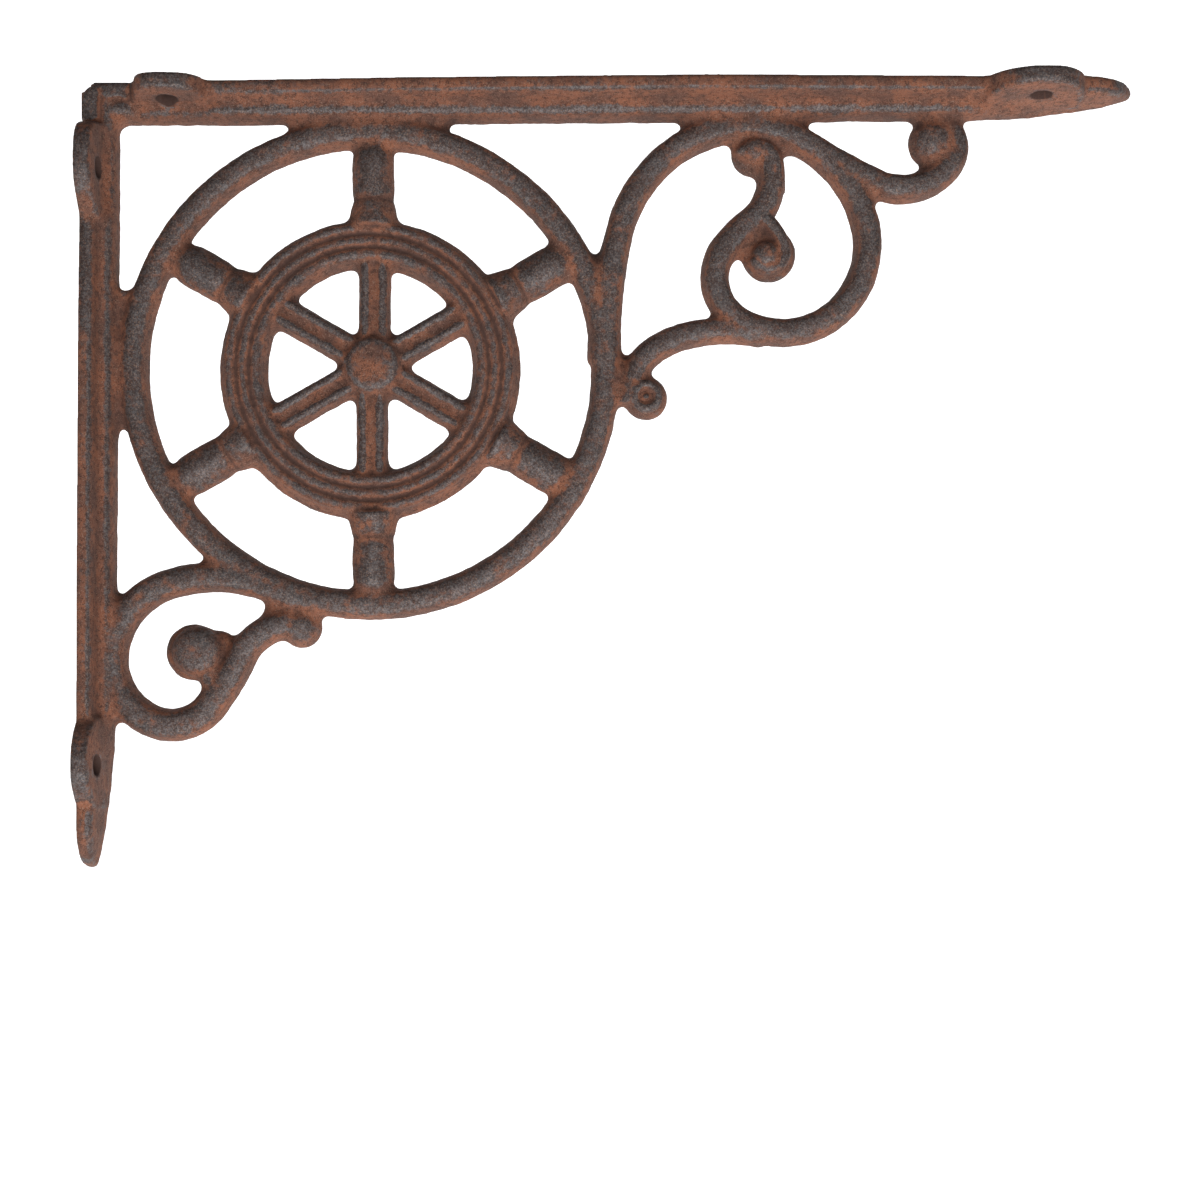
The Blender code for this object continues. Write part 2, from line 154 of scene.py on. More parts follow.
class Bench:
    """The few moves that every form is modelled with."""

    @staticmethod
    def take(obj: bpy.types.Object) -> None:
        """Select one object alone and make it the active one.

        Args:
            obj: the object.
        """
        bpy.ops.object.select_all(action="DESELECT")
        obj.select_set(True)
        bpy.context.view_layer.objects.active = obj

    @staticmethod
    def outline(name: str, points: Points) -> bpy.types.Object:
        """Start a form with a circle, its points moved to a closed outline.

        Args:
            name: the new object's name.
            points: the outline's points in order.

        Returns:
            The object, in edit mode with the outline selected.
        """
        bpy.ops.object.select_all(action="DESELECT")
        bpy.ops.mesh.primitive_circle_add(vertices=len(points), radius=1.0)
        obj = bpy.context.object
        obj.name = name
        for vert, point in zip(obj.data.vertices, points):
            vert.co = point
        bpy.ops.object.mode_set(mode="EDIT")
        bpy.ops.mesh.select_all(action="SELECT")
        return obj

    @staticmethod
    def draw_to(obj: bpy.types.Object, old: Points, new: Points) -> None:
        """Extrude the selected outline and move each of its points to a new place.

        Args:
            obj: the object in edit mode.
            old: the outline's points now.
            new: where each of them goes.
        """
        bpy.ops.mesh.extrude_region_move(TRANSFORM_OT_translate={"value": (0, 0, 0)})
        sheet = bmesh.from_edit_mesh(obj.data)
        for vert in [v for v in sheet.verts if v.select]:
            nearest = min(range(len(old)), key=lambda i: (old[i] - vert.co).length_squared)
            vert.co = new[nearest]
        bmesh.update_edit_mesh(obj.data)

    @staticmethod
    def close(obj: bpy.types.Object) -> bpy.types.Object:
        """Cap the form's open ends, turn its faces outwards and leave edit mode.

        Args:
            obj: the form, in edit mode.

        Returns:
            The closed form.
        """
        bpy.ops.mesh.select_all(action="SELECT")
        bpy.ops.mesh.remove_doubles(threshold=1e-6)
        bpy.ops.mesh.fill_holes(sides=0)
        bpy.ops.mesh.normals_make_consistent(inside=False)
        bpy.ops.object.mode_set(mode="OBJECT")
        return obj

    @staticmethod
    def loft(name: str, sections: list[Points]) -> bpy.types.Object:
        """Draw an outline out through a row of sections with equal counts of points.

        Args:
            name: the new object's name.
            sections: the sections in order.

        Returns:
            The closed form.
        """
        obj = Bench.outline(name, sections[0])
        for old, new in zip(sections, sections[1:]):
            Bench.draw_to(obj, old, new)
        return Bench.close(obj)

    @staticmethod
    def turned(name: str, profile: Pairs, foot: Vector, axis: Vector, sides: int = 48) -> bpy.types.Object:
        """Draw a round form out along its axis, one station after another.

        Args:
            name: the new object's name.
            profile: (radius, height) at each station, no radius zero.
            foot: where the axis starts.
            axis: the way that the form grows.
            sides: how many sides it has.

        Returns:
            The closed form.
        """
        axis = axis.normalized()
        side = axis.orthogonal().normalized()
        other = axis.cross(side)
        radius, height = profile[0]
        angles = [math.tau * i / sides for i in range(sides)]
        ring = [(side * math.cos(a) + other * math.sin(a)) * radius for a in angles]
        obj = Bench.outline(name, [foot + axis * height + spoke for spoke in ring])
        for (radius, height), (next_radius, next_height) in zip(profile, profile[1:]):
            step = axis * (next_height - height)
            bpy.ops.mesh.extrude_region_move(TRANSFORM_OT_translate={"value": step})
            share = next_radius / radius
            centre = foot + axis * next_height
            bpy.ops.transform.resize(value=(share, share, share), center_override=centre)
        return Bench.close(obj)

    @staticmethod
    def hoop(name: str, section: Points, centre: Vector, steps: int = 220) -> bpy.types.Object:
        """Spin a closed section once round an axis square to the back.

        Args:
            name: the new object's name.
            section: the section's points in order.
            centre: a point on the axis.
            steps: how many steps the turn takes.

        Returns:
            The closed hoop.
        """
        obj = Bench.outline(name, section)
        bpy.ops.mesh.spin(steps=steps, angle=math.tau, center=centre, axis=(0, 1, 0))
        return Bench.close(obj)

    @staticmethod
    def dome(name: str, foot: Vector, radius: float, height: float, full: float = 1.0) -> bpy.types.Object:
        """Draw a low dome out from the back.

        Args:
            name: the new object's name.
            foot: the dome's centre at the back.
            radius: its radius at the back.
            height: how far it rises.
            full: 1 for a round dome, less for one with a flatter top.

        Returns:
            The closed dome.
        """
        profile = []
        for step in range(12):
            angle = math.pi / 2 * step / 12
            profile.append((radius * math.cos(angle) ** full, height * math.sin(angle) ** full))
        profile.append((radius * 0.06, height))
        return Bench.turned(name, profile, foot, FORWARD)

    @staticmethod
    def circle(radius: float, middle: float, rise: float, sides: int = 14) -> Pairs:
        """Give the points of a circle as pairs.

        Args:
            radius: the circle's radius.
            middle: the first number of its centre.
            rise: the second number of its centre.
            sides: how many points it has.

        Returns:
            The points in order.
        """
        angles = [math.tau * i / sides for i in range(sides)]
        return [(middle + radius * math.cos(a), rise + radius * math.sin(a)) for a in angles]

    @staticmethod
    def join(parts: list[bpy.types.Object], name: str) -> bpy.types.Object:
        """Join several objects into one mesh.

        Args:
            parts: the objects.
            name: the joined object's name.

        Returns:
            The joined object.
        """
        Bench.take(parts[0])
        for part in parts:
            part.select_set(True)
        bpy.ops.object.join()
        joined = bpy.context.object
        joined.name = name
        joined.data.name = name
        return joined

    @staticmethod
    def apply(obj: bpy.types.Object, kind: str, **values: object) -> None:
        """Give an object one modifier and apply it.

        Args:
            obj: the object.
            kind: the modifier's type.
            values: its settings by name.
        """
        Bench.take(obj)
        modifier = obj.modifiers.new(kind.lower(), kind)
        for key, value in values.items():
            setattr(modifier, key, value)
        bpy.ops.object.modifier_apply(modifier=modifier.name)

    @staticmethod
    def vectors(items: bpy.types.bpy_prop_collection, key: str) -> np.ndarray:
        """Read one vector for each point of a mesh.

        Args:
            items: the mesh's points, or their normals.
            key: the vector's name.

        Returns:
            The vectors, one row for each point.
        """
        found = np.empty(len(items) * 3, dtype=np.float32)
        items.foreach_get(key, found)
        return found.reshape(-1, 3)

    @staticmethod
    def move_points(obj: bpy.types.Object, places: np.ndarray) -> None:
        """Move an object's points.

        Args:
            obj: the object.
            places: where they go, one row for each point.
        """
        obj.data.vertices.foreach_set("co", places.ravel())
        obj.data.update()

    @staticmethod
    def skin(obj: bpy.types.Object, grain: float) -> None:
        """Fuse all the closed forms of an object into one skin of even grain."""
        Bench.apply(obj, "REMESH", mode="VOXEL", voxel_size=grain, adaptivity=0.0)


@dataclass(frozen=True)
class Arc:
    """One arc of a scroll: its radius, its turn in degrees, left positive, and its end's size."""

    radius: float
    turn: float
    wide: float = 1.0
    high: float = 1.0


@dataclass(frozen=True)
class ScrollBar:
    """A round-backed bar led along a chain of arcs."""

    name: str
    start: tuple[float, float]
    heading: float
    arcs: tuple[Arc, ...]
    wide: float = 1.0
    high: float = 1.0
    half: float = 4.1 * MM
    rise: float = 7.8 * MM
    step_length: float = 1.3 * MM
    step_turn: float = 6.0

    def section(self) -> Points:
        """Give the bar's first section, with sloping sides and a rounded top.

        Returns:
            The section's points in order.
        """
        turn = math.radians(self.heading)
        across = Vector((-math.sin(turn), 0, math.cos(turn)))
        foot = DRAWING.place(*self.start, 0)
        half, rise = self.half * self.wide, self.rise * self.high
        return [foot + across * half * side + Vector((0, -rise * up, 0)) for side, up in BAR_SHAPE]

    def build(self) -> bpy.types.Object:
        """Spin the section along the arcs.

        Returns:
            The closed bar.
        """
        obj = Bench.outline(self.name, self.section())
        point = DRAWING.place(*self.start, 0)
        heading = math.radians(self.heading)
        wide, high = self.wide, self.high
        for arc in self.arcs:
            turn = math.radians(arc.turn)
            by_turn = abs(arc.turn) / self.step_turn
            by_length = abs(turn) * arc.radius / self.step_length
            steps = max(math.ceil(min(by_length, by_turn * 3)), math.ceil(by_turn), 2)
            side = math.copysign(arc.radius, turn)
            pivot = point + side * Vector((-math.sin(heading), 0, math.cos(heading)))
            for step in range(1, steps + 1):
                bpy.ops.mesh.spin(steps=1, angle=turn / steps, center=pivot, axis=(0, 1, 0))
                now = heading + turn * step / steps
                point = pivot - side * Vector((-math.sin(now), 0, math.cos(now)))
                next_wide = wide + (arc.wide - wide) / (steps - step + 1)
                next_high = high + (arc.high - high) / (steps - step + 1)
                grow = (next_wide / wide, next_high / high, next_wide / wide)
                bpy.ops.transform.resize(value=grow, center_override=point)
                wide, high = next_wide, next_high
            heading += turn
        return Bench.close(obj)


@dataclass(frozen=True)
class Dome:
    """One round disc or knob of a scroll: its place, radius and height, and how full it is."""

    name: str
    x: float
    z: float
    radius: float
    height: float
    full: float

    def build(self) -> bpy.types.Object:
        """Model the dome."""
        return Bench.dome(self.name, DRAWING.place(self.x, self.z, 0), self.radius, self.height, self.full)


@dataclass
class Scrolls:
    """The scrolls beside and under the ring, with their eyes."""

    bars: tuple[ScrollBar, ...] = (
        ScrollBar(
            "great_scroll",
            (144.4 * MM, -76.5 * MM),
            90.4,
            (
                Arc(146 * MM, -14.5),
                Arc(39 * MM, -45, 1.02),
                Arc(33.4 * MM, -57),
                Arc(35.4 * MM, -50, 1.02),
                Arc(24.7 * MM, -71),
                Arc(23.0 * MM, -67, 0.95),
                Arc(13.7 * MM, -91, 1.05),
                Arc(32.5 * MM, -18, 1.05),
                Arc(15.5 * MM, 40),
                Arc(12.5 * MM, 48, 1.0, 0.9),
            ),
            wide=1.2,
        ),
        ScrollBar(
            "tail_scroll",
            (201.0 * MM, -16.1 * MM),
            327,
            (Arc(157 * MM, 8), Arc(16.8 * MM, 80), Arc(7.9 * MM, 80, 0.8, 0.85)),
        ),
        ScrollBar(
            "link_scroll",
            (151.9 * MM, -88.5 * MM),
            88,
            (
                Arc(60 * MM, -6, 0.95),
                Arc(13.2 * MM, -49, 0.95),
                Arc(30.5 * MM, -23, 0.95),
                Arc(44.6 * MM, -25, 0.82, 0.9),
            ),
        ),
        ScrollBar(
            "low_scroll",
            (72.0 * MM, -143.4 * MM),
            183,
            (
                Arc(46 * MM, -26),
                Arc(41.3 * MM, 41, 1.08),
                Arc(22.8 * MM, 62, 1.17),
                Arc(18.6 * MM, 77, 1.17),
                Arc(13.7 * MM, 74, 1.17),
                Arc(74 * MM, 13, 1.1),
                Arc(16.2 * MM, -62, 1.0),
            ),
        ),
        ScrollBar(
            "low_neck",
            (33.3 * MM, -174.1 * MM),
            54,
            (Arc(11.2 * MM, 45, 0.85, 0.9), Arc(10.3 * MM, 50, 1.0, 0.9)),
            wide=0.8,
            high=0.8,
        ),
    )
    eyes: tuple[Dome, ...] = (
        Dome("snail_disc", 190.4 * MM, -46.6 * MM, 7.6 * MM, 5.8 * MM, 0.6),
        Dome("upper_eye", 186.0 * MM, -18.4 * MM, 6.3 * MM, 5.6 * MM, 0.7),
        Dome("upper_web", 195.4 * MM, -15.7 * MM, 3.3 * MM, 5.6 * MM, 0.7),
        Dome("tail_eye", 236.0 * MM, -15.5 * MM, 6.8 * MM, 8.2 * MM, 0.8),
        Dome("tail_web", 238.6 * MM, -12.6 * MM, 6.4 * MM, 6.4 * MM, 0.7),
        Dome("link_eye", 156.0 * MM, -86.6 * MM, 6.1 * MM, 7.0 * MM, 0.7),
        Dome("low_eye", 30.0 * MM, -157.4 * MM, 8.0 * MM, 5.0 * MM, 0.7),
        Dome("low_web", 36.8 * MM, -156.5 * MM, 5.4 * MM, 5.0 * MM, 0.8),
        Dome("low_root", 53.0 * MM, -147.0 * MM, 4.0 * MM, 5.6 * MM, 0.8),
        Dome("low_knob", 60.1 * MM, -150.5 * MM, 5.8 * MM, 8.2 * MM, 0.9),
    )
    ridges: tuple[ScrollBar, ...] = (
        ScrollBar(
            "snail_ridge",
            (189.0 * MM, -37.0 * MM),
            321,
            (Arc(16.1 * MM, -34, 0.56), Arc(4.9 * MM, -107, 0.52), Arc(4.2 * MM, -70, 0.36)),
            wide=0.6,
        ),
        ScrollBar(
            "upper_curl",
            (191.2 * MM, -29.0 * MM),
            90,
            (Arc(70 * MM, 6), Arc(4.9 * MM, 84, 0.72), Arc(4.4 * MM, 60, 0.46, 0.9)),
            wide=0.95,
        ),
    )
    knobs: tuple[Dome, ...] = (
        Dome("upper_knob", 186.2 * MM, -18.2 * MM, 4.3 * MM, 8.4 * MM, 0.7),
        Dome("snail_boss", 189.3 * MM, -47.4 * MM, 4.7 * MM, 8.7 * MM, 0.7),
        Dome("link_knob", 156.0 * MM, -86.6 * MM, 1.5 * MM, 8.4 * MM, 0.8),
        Dome("low_boss", 31.4 * MM, -157.2 * MM, 7.2 * MM, 8.5 * MM, 0.5),
    )
    link_x: float = 156.0 * MM
    link_z: float = -86.6 * MM
    link_rim_radius: float = 3.3 * MM
    link_rim_fat: float = 1.35 * MM
    link_rim_rise: float = 6.9 * MM

    def link_rim(self) -> bpy.types.Object:
        """Model the small rim round the link scroll's knob.

        Returns:
            The closed rim.
        """
        circle = Bench.circle(self.link_rim_fat, self.link_x + self.link_rim_radius, self.link_rim_rise)
        section = [DRAWING.place(x, self.link_z, rise) for x, rise in circle]
        return Bench.hoop("link_rim", section, DRAWING.place(self.link_x, self.link_z, 0), 60)

    def build_body(self) -> list[bpy.types.Object]:
        """Model the bars and the discs that they end in, which get fillets between them."""
        return [form.build() for form in (*self.bars, *self.eyes)]

    def build_crests(self) -> list[bpy.types.Object]:
        """Model the fine ridges that wind in over the discs, and the knobs in their middles."""
        return [form.build() for form in (*self.ridges, *self.knobs)] + [self.link_rim()]


@dataclass
class ShipsWheel:
    """The outer ring and the ship's wheel in it."""

    x: float = 79.1 * MM
    z: float = -78.6 * MM
    hub_shift: tuple[float, float] = (1.0 * MM, 0.6 * MM)
    handle_shift: tuple[float, float] = (1.0 * MM, -0.2 * MM)
    ring_radius: float = 65.7 * MM
    ring_half: float = 4.2 * MM
    ring_rise: float = 7.6 * MM
    rim_inner: float = 28.1 * MM
    rim_outer: float = 42.5 * MM
    rim_rise: float = 8.2 * MM
    rim_draft: float = 2.9 * MM
    rim_groove: float = 0.9 * MM
    rim_fat: float = 1.7 * MM
    spokes: int = 6
    rim_ridges: tuple[float, ...] = (31.5 * MM, 35.0 * MM, 38.6 * MM)
    spoke_shifts: tuple[float, ...] = (-0.35 * MM, -0.6 * MM, -0.3 * MM, -0.4 * MM, 0.0, 0.0)
    spoke_half: float = 4.7 * MM
    spoke_rise: float = 7.0 * MM
    spoke_groove: float = 0.9 * MM
    spoke_fat: float = 1.5 * MM
    hub_radius: float = 8.0 * MM
    hub_rise: float = 9.2 * MM
    handle_axis: float = 2.6 * MM
    handle_neck: float = 5.4 * MM
    handle_barrel: float = 5.9 * MM
    handle_collar: float = 6.7 * MM
    handle_end: float = 63.6 * MM
    collar_length: float = 3.6 * MM
    neck_length: float = 1.2 * MM

    def centre(self, shift: tuple[float, float] = (0.0, 0.0), rise: float = 0.0) -> Vector:
        """Give the wheel's centre, moved by a cast shift."""
        return DRAWING.place(self.x + shift[0], self.z + shift[1], rise)

    def radial(self, pairs: Pairs) -> Points:
        """Set (radius, rise) pairs out from the centre towards +X."""
        return [DRAWING.place(self.x + radius, self.z, rise) for radius, rise in pairs]

    def ring(self) -> bpy.types.Object:
        """Model the outer ring."""
        pairs = [(self.ring_radius + self.ring_half * side, self.ring_rise * up) for side, up in BAR_SHAPE]
        return Bench.hoop("ring", self.radial(pairs), self.centre())

    def rim_body(self) -> bpy.types.Object:
        """Model the rim up to the bottom of its grooves.

        Returns:
            The closed rim, without its ridges.
        """
        top = self.rim_rise - self.rim_groove
        pairs = [
            (self.rim_inner, 0.0),
            (self.rim_inner + self.rim_draft * 0.72, top),
            (self.rim_ridges[-1] + 0.7 * MM, top),
            (self.rim_outer, 0.0),
        ]
        return Bench.hoop("rim_body", self.radial(pairs), self.centre())

    def rim_crests(self) -> list[bpy.types.Object]:
        """Model the rounded ridges that run round the rim.

        Returns:
            One closed hoop for each ridge.
        """
        fat = self.rim_fat
        made = []
        for number, middle in enumerate(self.rim_ridges):
            section = self.radial(Bench.circle(fat, middle, self.rim_rise - fat))
            made.append(Bench.hoop(f"rim_crest_{number + 1}", section, self.centre()))
        return made

    def way_out(self, number: int) -> Vector:
        """Give the direction of a spoke and its handle, from 0 at the top."""
        angle = math.pi / 2 + number * math.tau / self.spokes
        return Vector((math.cos(angle), 0, math.sin(angle)))

    def spoke_frame(self, number: int) -> tuple[Vector, Vector, Vector]:
        """Give a spoke's foot at the hub, its direction and the way across it.

        Args:
            number: which spoke, from 0 at the top.

        Returns:
            The foot, the direction outwards and the direction across.
        """
        along = self.way_out(number)
        across = Vector((-along.z, 0, along.x))
        foot = self.centre(self.hub_shift) + across * self.spoke_shifts[number]
        return foot, along, across

    def spoke_body(self, number: int) -> bpy.types.Object:
        """Model one spoke up to the bottom of its groove.

        Args:
            number: which spoke, from 0 at the top.

        Returns:
            The closed spoke.
        """
        foot, along, across = self.spoke_frame(number)
        half, top = self.spoke_half, self.spoke_rise - self.spoke_groove
        pairs = [(-half, 0.0), (-half * 0.86, top * 0.8), (-half * 0.6, top)]
        pairs += [(-side, rise) for side, rise in reversed(pairs)]
        sections = []
        for reach in (self.hub_radius * 0.5, self.rim_inner + self.rim_draft * 0.5):
            base = foot + along * reach
            sections.append([base + across * side - Vector((0, rise, 0)) for side, rise in pairs])
        return Bench.loft(f"spoke_{number + 1}", sections)

    def spoke_crests(self, number: int) -> list[bpy.types.Object]:
        """Model the two fine ridges along a spoke.

        Args:
            number: which spoke, from 0 at the top.

        Returns:
            The two closed rods.
        """
        foot, along, across = self.spoke_frame(number)
        fat = self.spoke_fat
        made = []
        for side in (-1, 1):
            shift = across * side * self.spoke_half * 0.5
            base = foot + shift - Vector((0, self.spoke_rise - fat, 0))
            profile = [(fat, self.hub_radius * 0.6), (fat, self.rim_inner + self.rim_draft)]
            made.append(Bench.turned(f"spoke_crest_{number + 1}", profile, base, along, 14))
        return made

    def hub(self) -> bpy.types.Object:
        """Model the hub's boss.

        Returns:
            The closed boss.
        """
        radius, rise, top = self.hub_radius, self.spoke_rise, self.hub_rise
        profile = [(radius * 1.16, 0.0), (radius * 1.04, rise * 0.6), (radius, rise)]
        profile += [(radius * 0.86, top * 0.93), (radius * 0.5, top * 0.985), (radius * 0.1, top)]
        return Bench.turned("hub", profile, self.centre(self.hub_shift), FORWARD)

    def handle(self, number: int) -> bpy.types.Object:
        """Model one turned handle, with its collar on the rim and its end on the ring.

        Args:
            number: which handle, from 0 at the top.

        Returns:
            The closed handle, cut off flat at the back.
        """
        pivot = self.centre(self.handle_shift, self.handle_axis)
        shoulder = self.rim_outer + self.collar_length
        neck = shoulder + self.neck_length
        barrel, end = self.handle_barrel, self.handle_end
        profile = [
            (self.handle_collar * 1.12, self.rim_outer - self.rim_draft),
            (self.handle_collar, self.rim_outer),
            (barrel * 1.02, shoulder - 0.2 * MM),
            (self.handle_neck, shoulder + 0.3 * MM),
            (self.handle_neck, neck),
            (barrel * 0.97, neck + 0.7 * MM),
            (barrel, neck + 3.0 * MM),
            (barrel, end - 6.0 * MM),
            (barrel * 0.96, end - 4.2 * MM),
            (barrel * 0.84, end - 2.4 * MM),
            (barrel * 0.62, end - 0.9 * MM),
            (barrel * 0.2, end),
        ]
        obj = Bench.turned(f"handle_{number + 1}", profile, pivot, self.way_out(number), 40)
        bpy.ops.object.mode_set(mode="EDIT")
        bpy.ops.mesh.select_all(action="SELECT")
        bpy.ops.mesh.bisect(plane_co=self.centre(), plane_no=(0, 1, 0), clear_outer=True)
        return Bench.close(obj)

    def build_body(self) -> list[bpy.types.Object]:
        """Model the forms that get fillets between them.

        Returns:
            The closed forms.
        """
        parts = [self.ring(), self.rim_body()]
        for number in range(self.spokes):
            parts += [self.spoke_body(number), self.handle(number)]
        return parts

    def build_crests(self) -> list[bpy.types.Object]:
        """Model the finer forms that stay crisp.

        Returns:
            The closed forms.
        """
        parts = self.rim_crests() + [self.hub()]
        for number in range(self.spokes):
            parts += self.spoke_crests(number)
        return parts


@dataclass(frozen=True)
class Ear:
    """One screw ear: its screw's place, its front's height and the reach of its two sides.

    A side with a softness of 0 ends steeply, one with 1 runs out in a long curve.
    """

    screw: float
    hole_rise: float
    top: float
    base: float
    near: float
    near_soft: float
    far: float
    far_soft: float

    def front(self, share: float) -> tuple[float, float]:
        """Give a point of the front edge.

        Args:
            share: from -1 at the near end to 1 at the far end.

        Returns:
            Distance from the corner and rise.
        """
        soft, reach = (self.near_soft, self.near) if share < 0 else (self.far_soft, self.far)
        steep = math.sqrt(max(1 - share**4, 0.0))
        bell = 0.5 + 0.5 * math.cos(math.pi * abs(share) ** 1.3)
        height = steep + (bell - steep) * soft
        return self.screw + share * reach, self.base + (self.top - self.base) * height


@dataclass(frozen=True)
class Strap:
    """One arm of the bracket with its rib, tongue and screw ears."""

    arm: Arm
    length: float
    ears: tuple[Ear, Ear]
    feet: tuple[float, float]
    near_edge: float
    depths: tuple[float, float, float]
    tip: float
    tip_round: float
    edge: float = 3.9 * MM
    rib: float = 8.3 * MM
    corner_length: float = 13.5 * MM
    corner_depth: float = 6.6 * MM
    corner_edge: float = 4.0 * MM
    corner_cut: float = 2.4 * MM
    tongue: float = 19.0 * MM
    ear_edge: float = 4.3 * MM
    ear_slope: float = 0.12
    hole: float = 6.0 * MM
    hole_depth: float = 6.8 * MM

    def section(
        self,
        along: float,
        depth: float,
        edge: float,
        foot: float,
        rib: float,
        skip: float = 0.0,
        lift: float = 1.0,
    ) -> Points:
        """Give the strap's section at one place.

        Args:
            along: distance from the corner.
            depth: rise of the strap's front edge.
            edge: thickness of that edge.
            foot: thickness at the back.
            rib: from 0, a plain plate, to 1, the whole rib.
            skip: how much of the outer face is missing.
            lift: the rib's height as a share of its full height.

        Returns:
            The section's points.
        """
        bevel = min(edge, depth) * 0.22
        pairs = [(0.0, 0.0), (0.0, depth - bevel), (bevel * 0.4, depth - bevel * 0.35), (bevel, depth)]
        pairs += [(edge - bevel, depth), (edge - bevel * 0.35, depth - bevel * 0.35), (edge, depth - bevel)]
        for share, wall, top in RIB_SIDE:
            plate = depth * (1 - share)
            inner = self.rib * lift * top + (depth - self.rib * lift) * wall
            pairs.append((edge + (foot - edge) * share, plate + (inner - plate) * rib))
        pairs.append((foot, 0.0))
        return [DRAWING.on_arm(self.arm, along, max(out, skip), rise) for out, rise in pairs]

    def plate(self) -> bpy.types.Object:
        """Draw the strap out from the corner to the tip of its tongue.

        Returns:
            The closed strap, without its ears.
        """
        near, far = self.feet
        start, middle, end = self.depths
        first, last = (ear.screw for ear in self.ears)
        corner = (self.corner_depth, self.corner_edge, near, 0.9)
        low_rib = (near, 1.0, 0.0, 0.8)
        length, edge = self.length, self.edge
        sections = [
            self.section(0.0, *corner, self.corner_cut),
            self.section(self.corner_cut, *corner),
            self.section(self.corner_length - 0.6 * MM, *corner),
            self.section(self.corner_length, start * 0.9, self.near_edge, *low_rib),
            self.section(self.corner_length + 2 * MM, start, self.near_edge, *low_rib),
            self.section(first + 7 * MM, start, edge, *low_rib),
            self.section(first + 14 * MM, start, edge, near, 1.0),
            self.section(length * 0.3, (start + middle) / 2, edge, near * 0.7 + far * 0.3, 1.0),
            self.section(length * 0.6, middle, edge, near * 0.3 + far * 0.7, 1.0),
            self.section(last - 16 * MM, end, edge, far, 1.0),
            self.section(last, end, self.ear_edge, far * 0.93, 0.0),
        ]
        for step in range(17):
            share = step / 16
            along = length - self.tongue * (1 - share)
            over = max(0.0, 1 - (length - along) / self.tip)
            depth = end * max((1 - over * over) ** self.tip_round, 0.12)
            foot = far * (0.78 - 0.27 * share - 0.17 * share**3)
            sections.append(self.section(along, depth, min(self.ear_edge, foot * 0.8), foot, 0.0))
        return Bench.loft(f"{self.arm.value}_strap", sections)

    def ear(self, ear: Ear, name: str) -> bpy.types.Object:
        """Model one screw ear, flush with the strap's inner face at its foot.

        Args:
            ear: the ear's sizes.
            name: the new object's name.

        Returns:
            The closed ear.
        """
        shares = [i / 24 for i in range(-24, 25)]
        sections: list[Points] = []
        for shrink, inner in ((0.5 * MM, 0.0), (0.0, 0.12), (0.0, 0.84), (0.6 * MM, 1.0)):
            points = []
            for share in shares:
                along, rise = ear.front(share * 0.999)
                rise -= shrink
                thick = self.ear_edge + (ear.top - rise) * self.ear_slope
                points.append(DRAWING.on_arm(self.arm, along, thick * inner, rise))
            foot = self.ear_edge + (ear.top - ear.base * 0.4) * self.ear_slope
            for share in reversed(shares[::4]):
                along = ear.front(share)[0]
                points.append(DRAWING.on_arm(self.arm, along, foot * inner, ear.base * 0.4))
            sections.append(points)
        return Bench.loft(name, sections)

    def build_ears(self) -> list[bpy.types.Object]:
        """Model both ears."""
        return [self.ear(ear, f"{self.arm.value}_ear_{number}") for number, ear in enumerate(self.ears)]

    def drill(self, ear: Ear) -> bpy.types.Object:
        """Model the drill for one screw hole.

        Args:
            ear: the ear that the hole goes through.

        Returns:
            The closed drill.
        """
        radius = self.hole / 2
        foot = DRAWING.on_arm(self.arm, ear.screw, -20 * MM, ear.hole_rise)
        axis = DRAWING.on_arm(self.arm, ear.screw, self.hole_depth, ear.hole_rise) - foot
        return Bench.turned("drill", [(radius, 0.0), (radius, axis.length)], foot, axis)

    def drill_through(self, casting: bpy.types.Object) -> None:
        """Drill the arm's two screw holes.

        Args:
            casting: the fused casting.
        """
        for ear in self.ears:
            tool = self.drill(ear)
            Bench.apply(casting, "BOOLEAN", object=tool, operation="DIFFERENCE", solver="MANIFOLD")
            bpy.data.objects.remove(tool)

    def inside_holes(self, points: np.ndarray) -> np.ndarray:
        """Find the points that lie inside the arm's screw holes.

        Args:
            points: the skin's points.

        Returns:
            1 for each point on a hole's wall, 0 elsewhere.
        """
        found = np.zeros(len(points))
        for ear in self.ears:
            foot = np.array(DRAWING.on_arm(self.arm, ear.screw, 0.0, ear.hole_rise))
            square = 0 if self.arm is Arm.WALL else 2
            away = np.delete(points - foot, square, axis=1)
            depth = np.abs(points - foot)[:, square]
            near = np.linalg.norm(away, axis=1) < self.hole / 2 + 0.12 * MM
            found[near & (depth < self.hole_depth + 0.2 * MM)] = 1.0
        return found


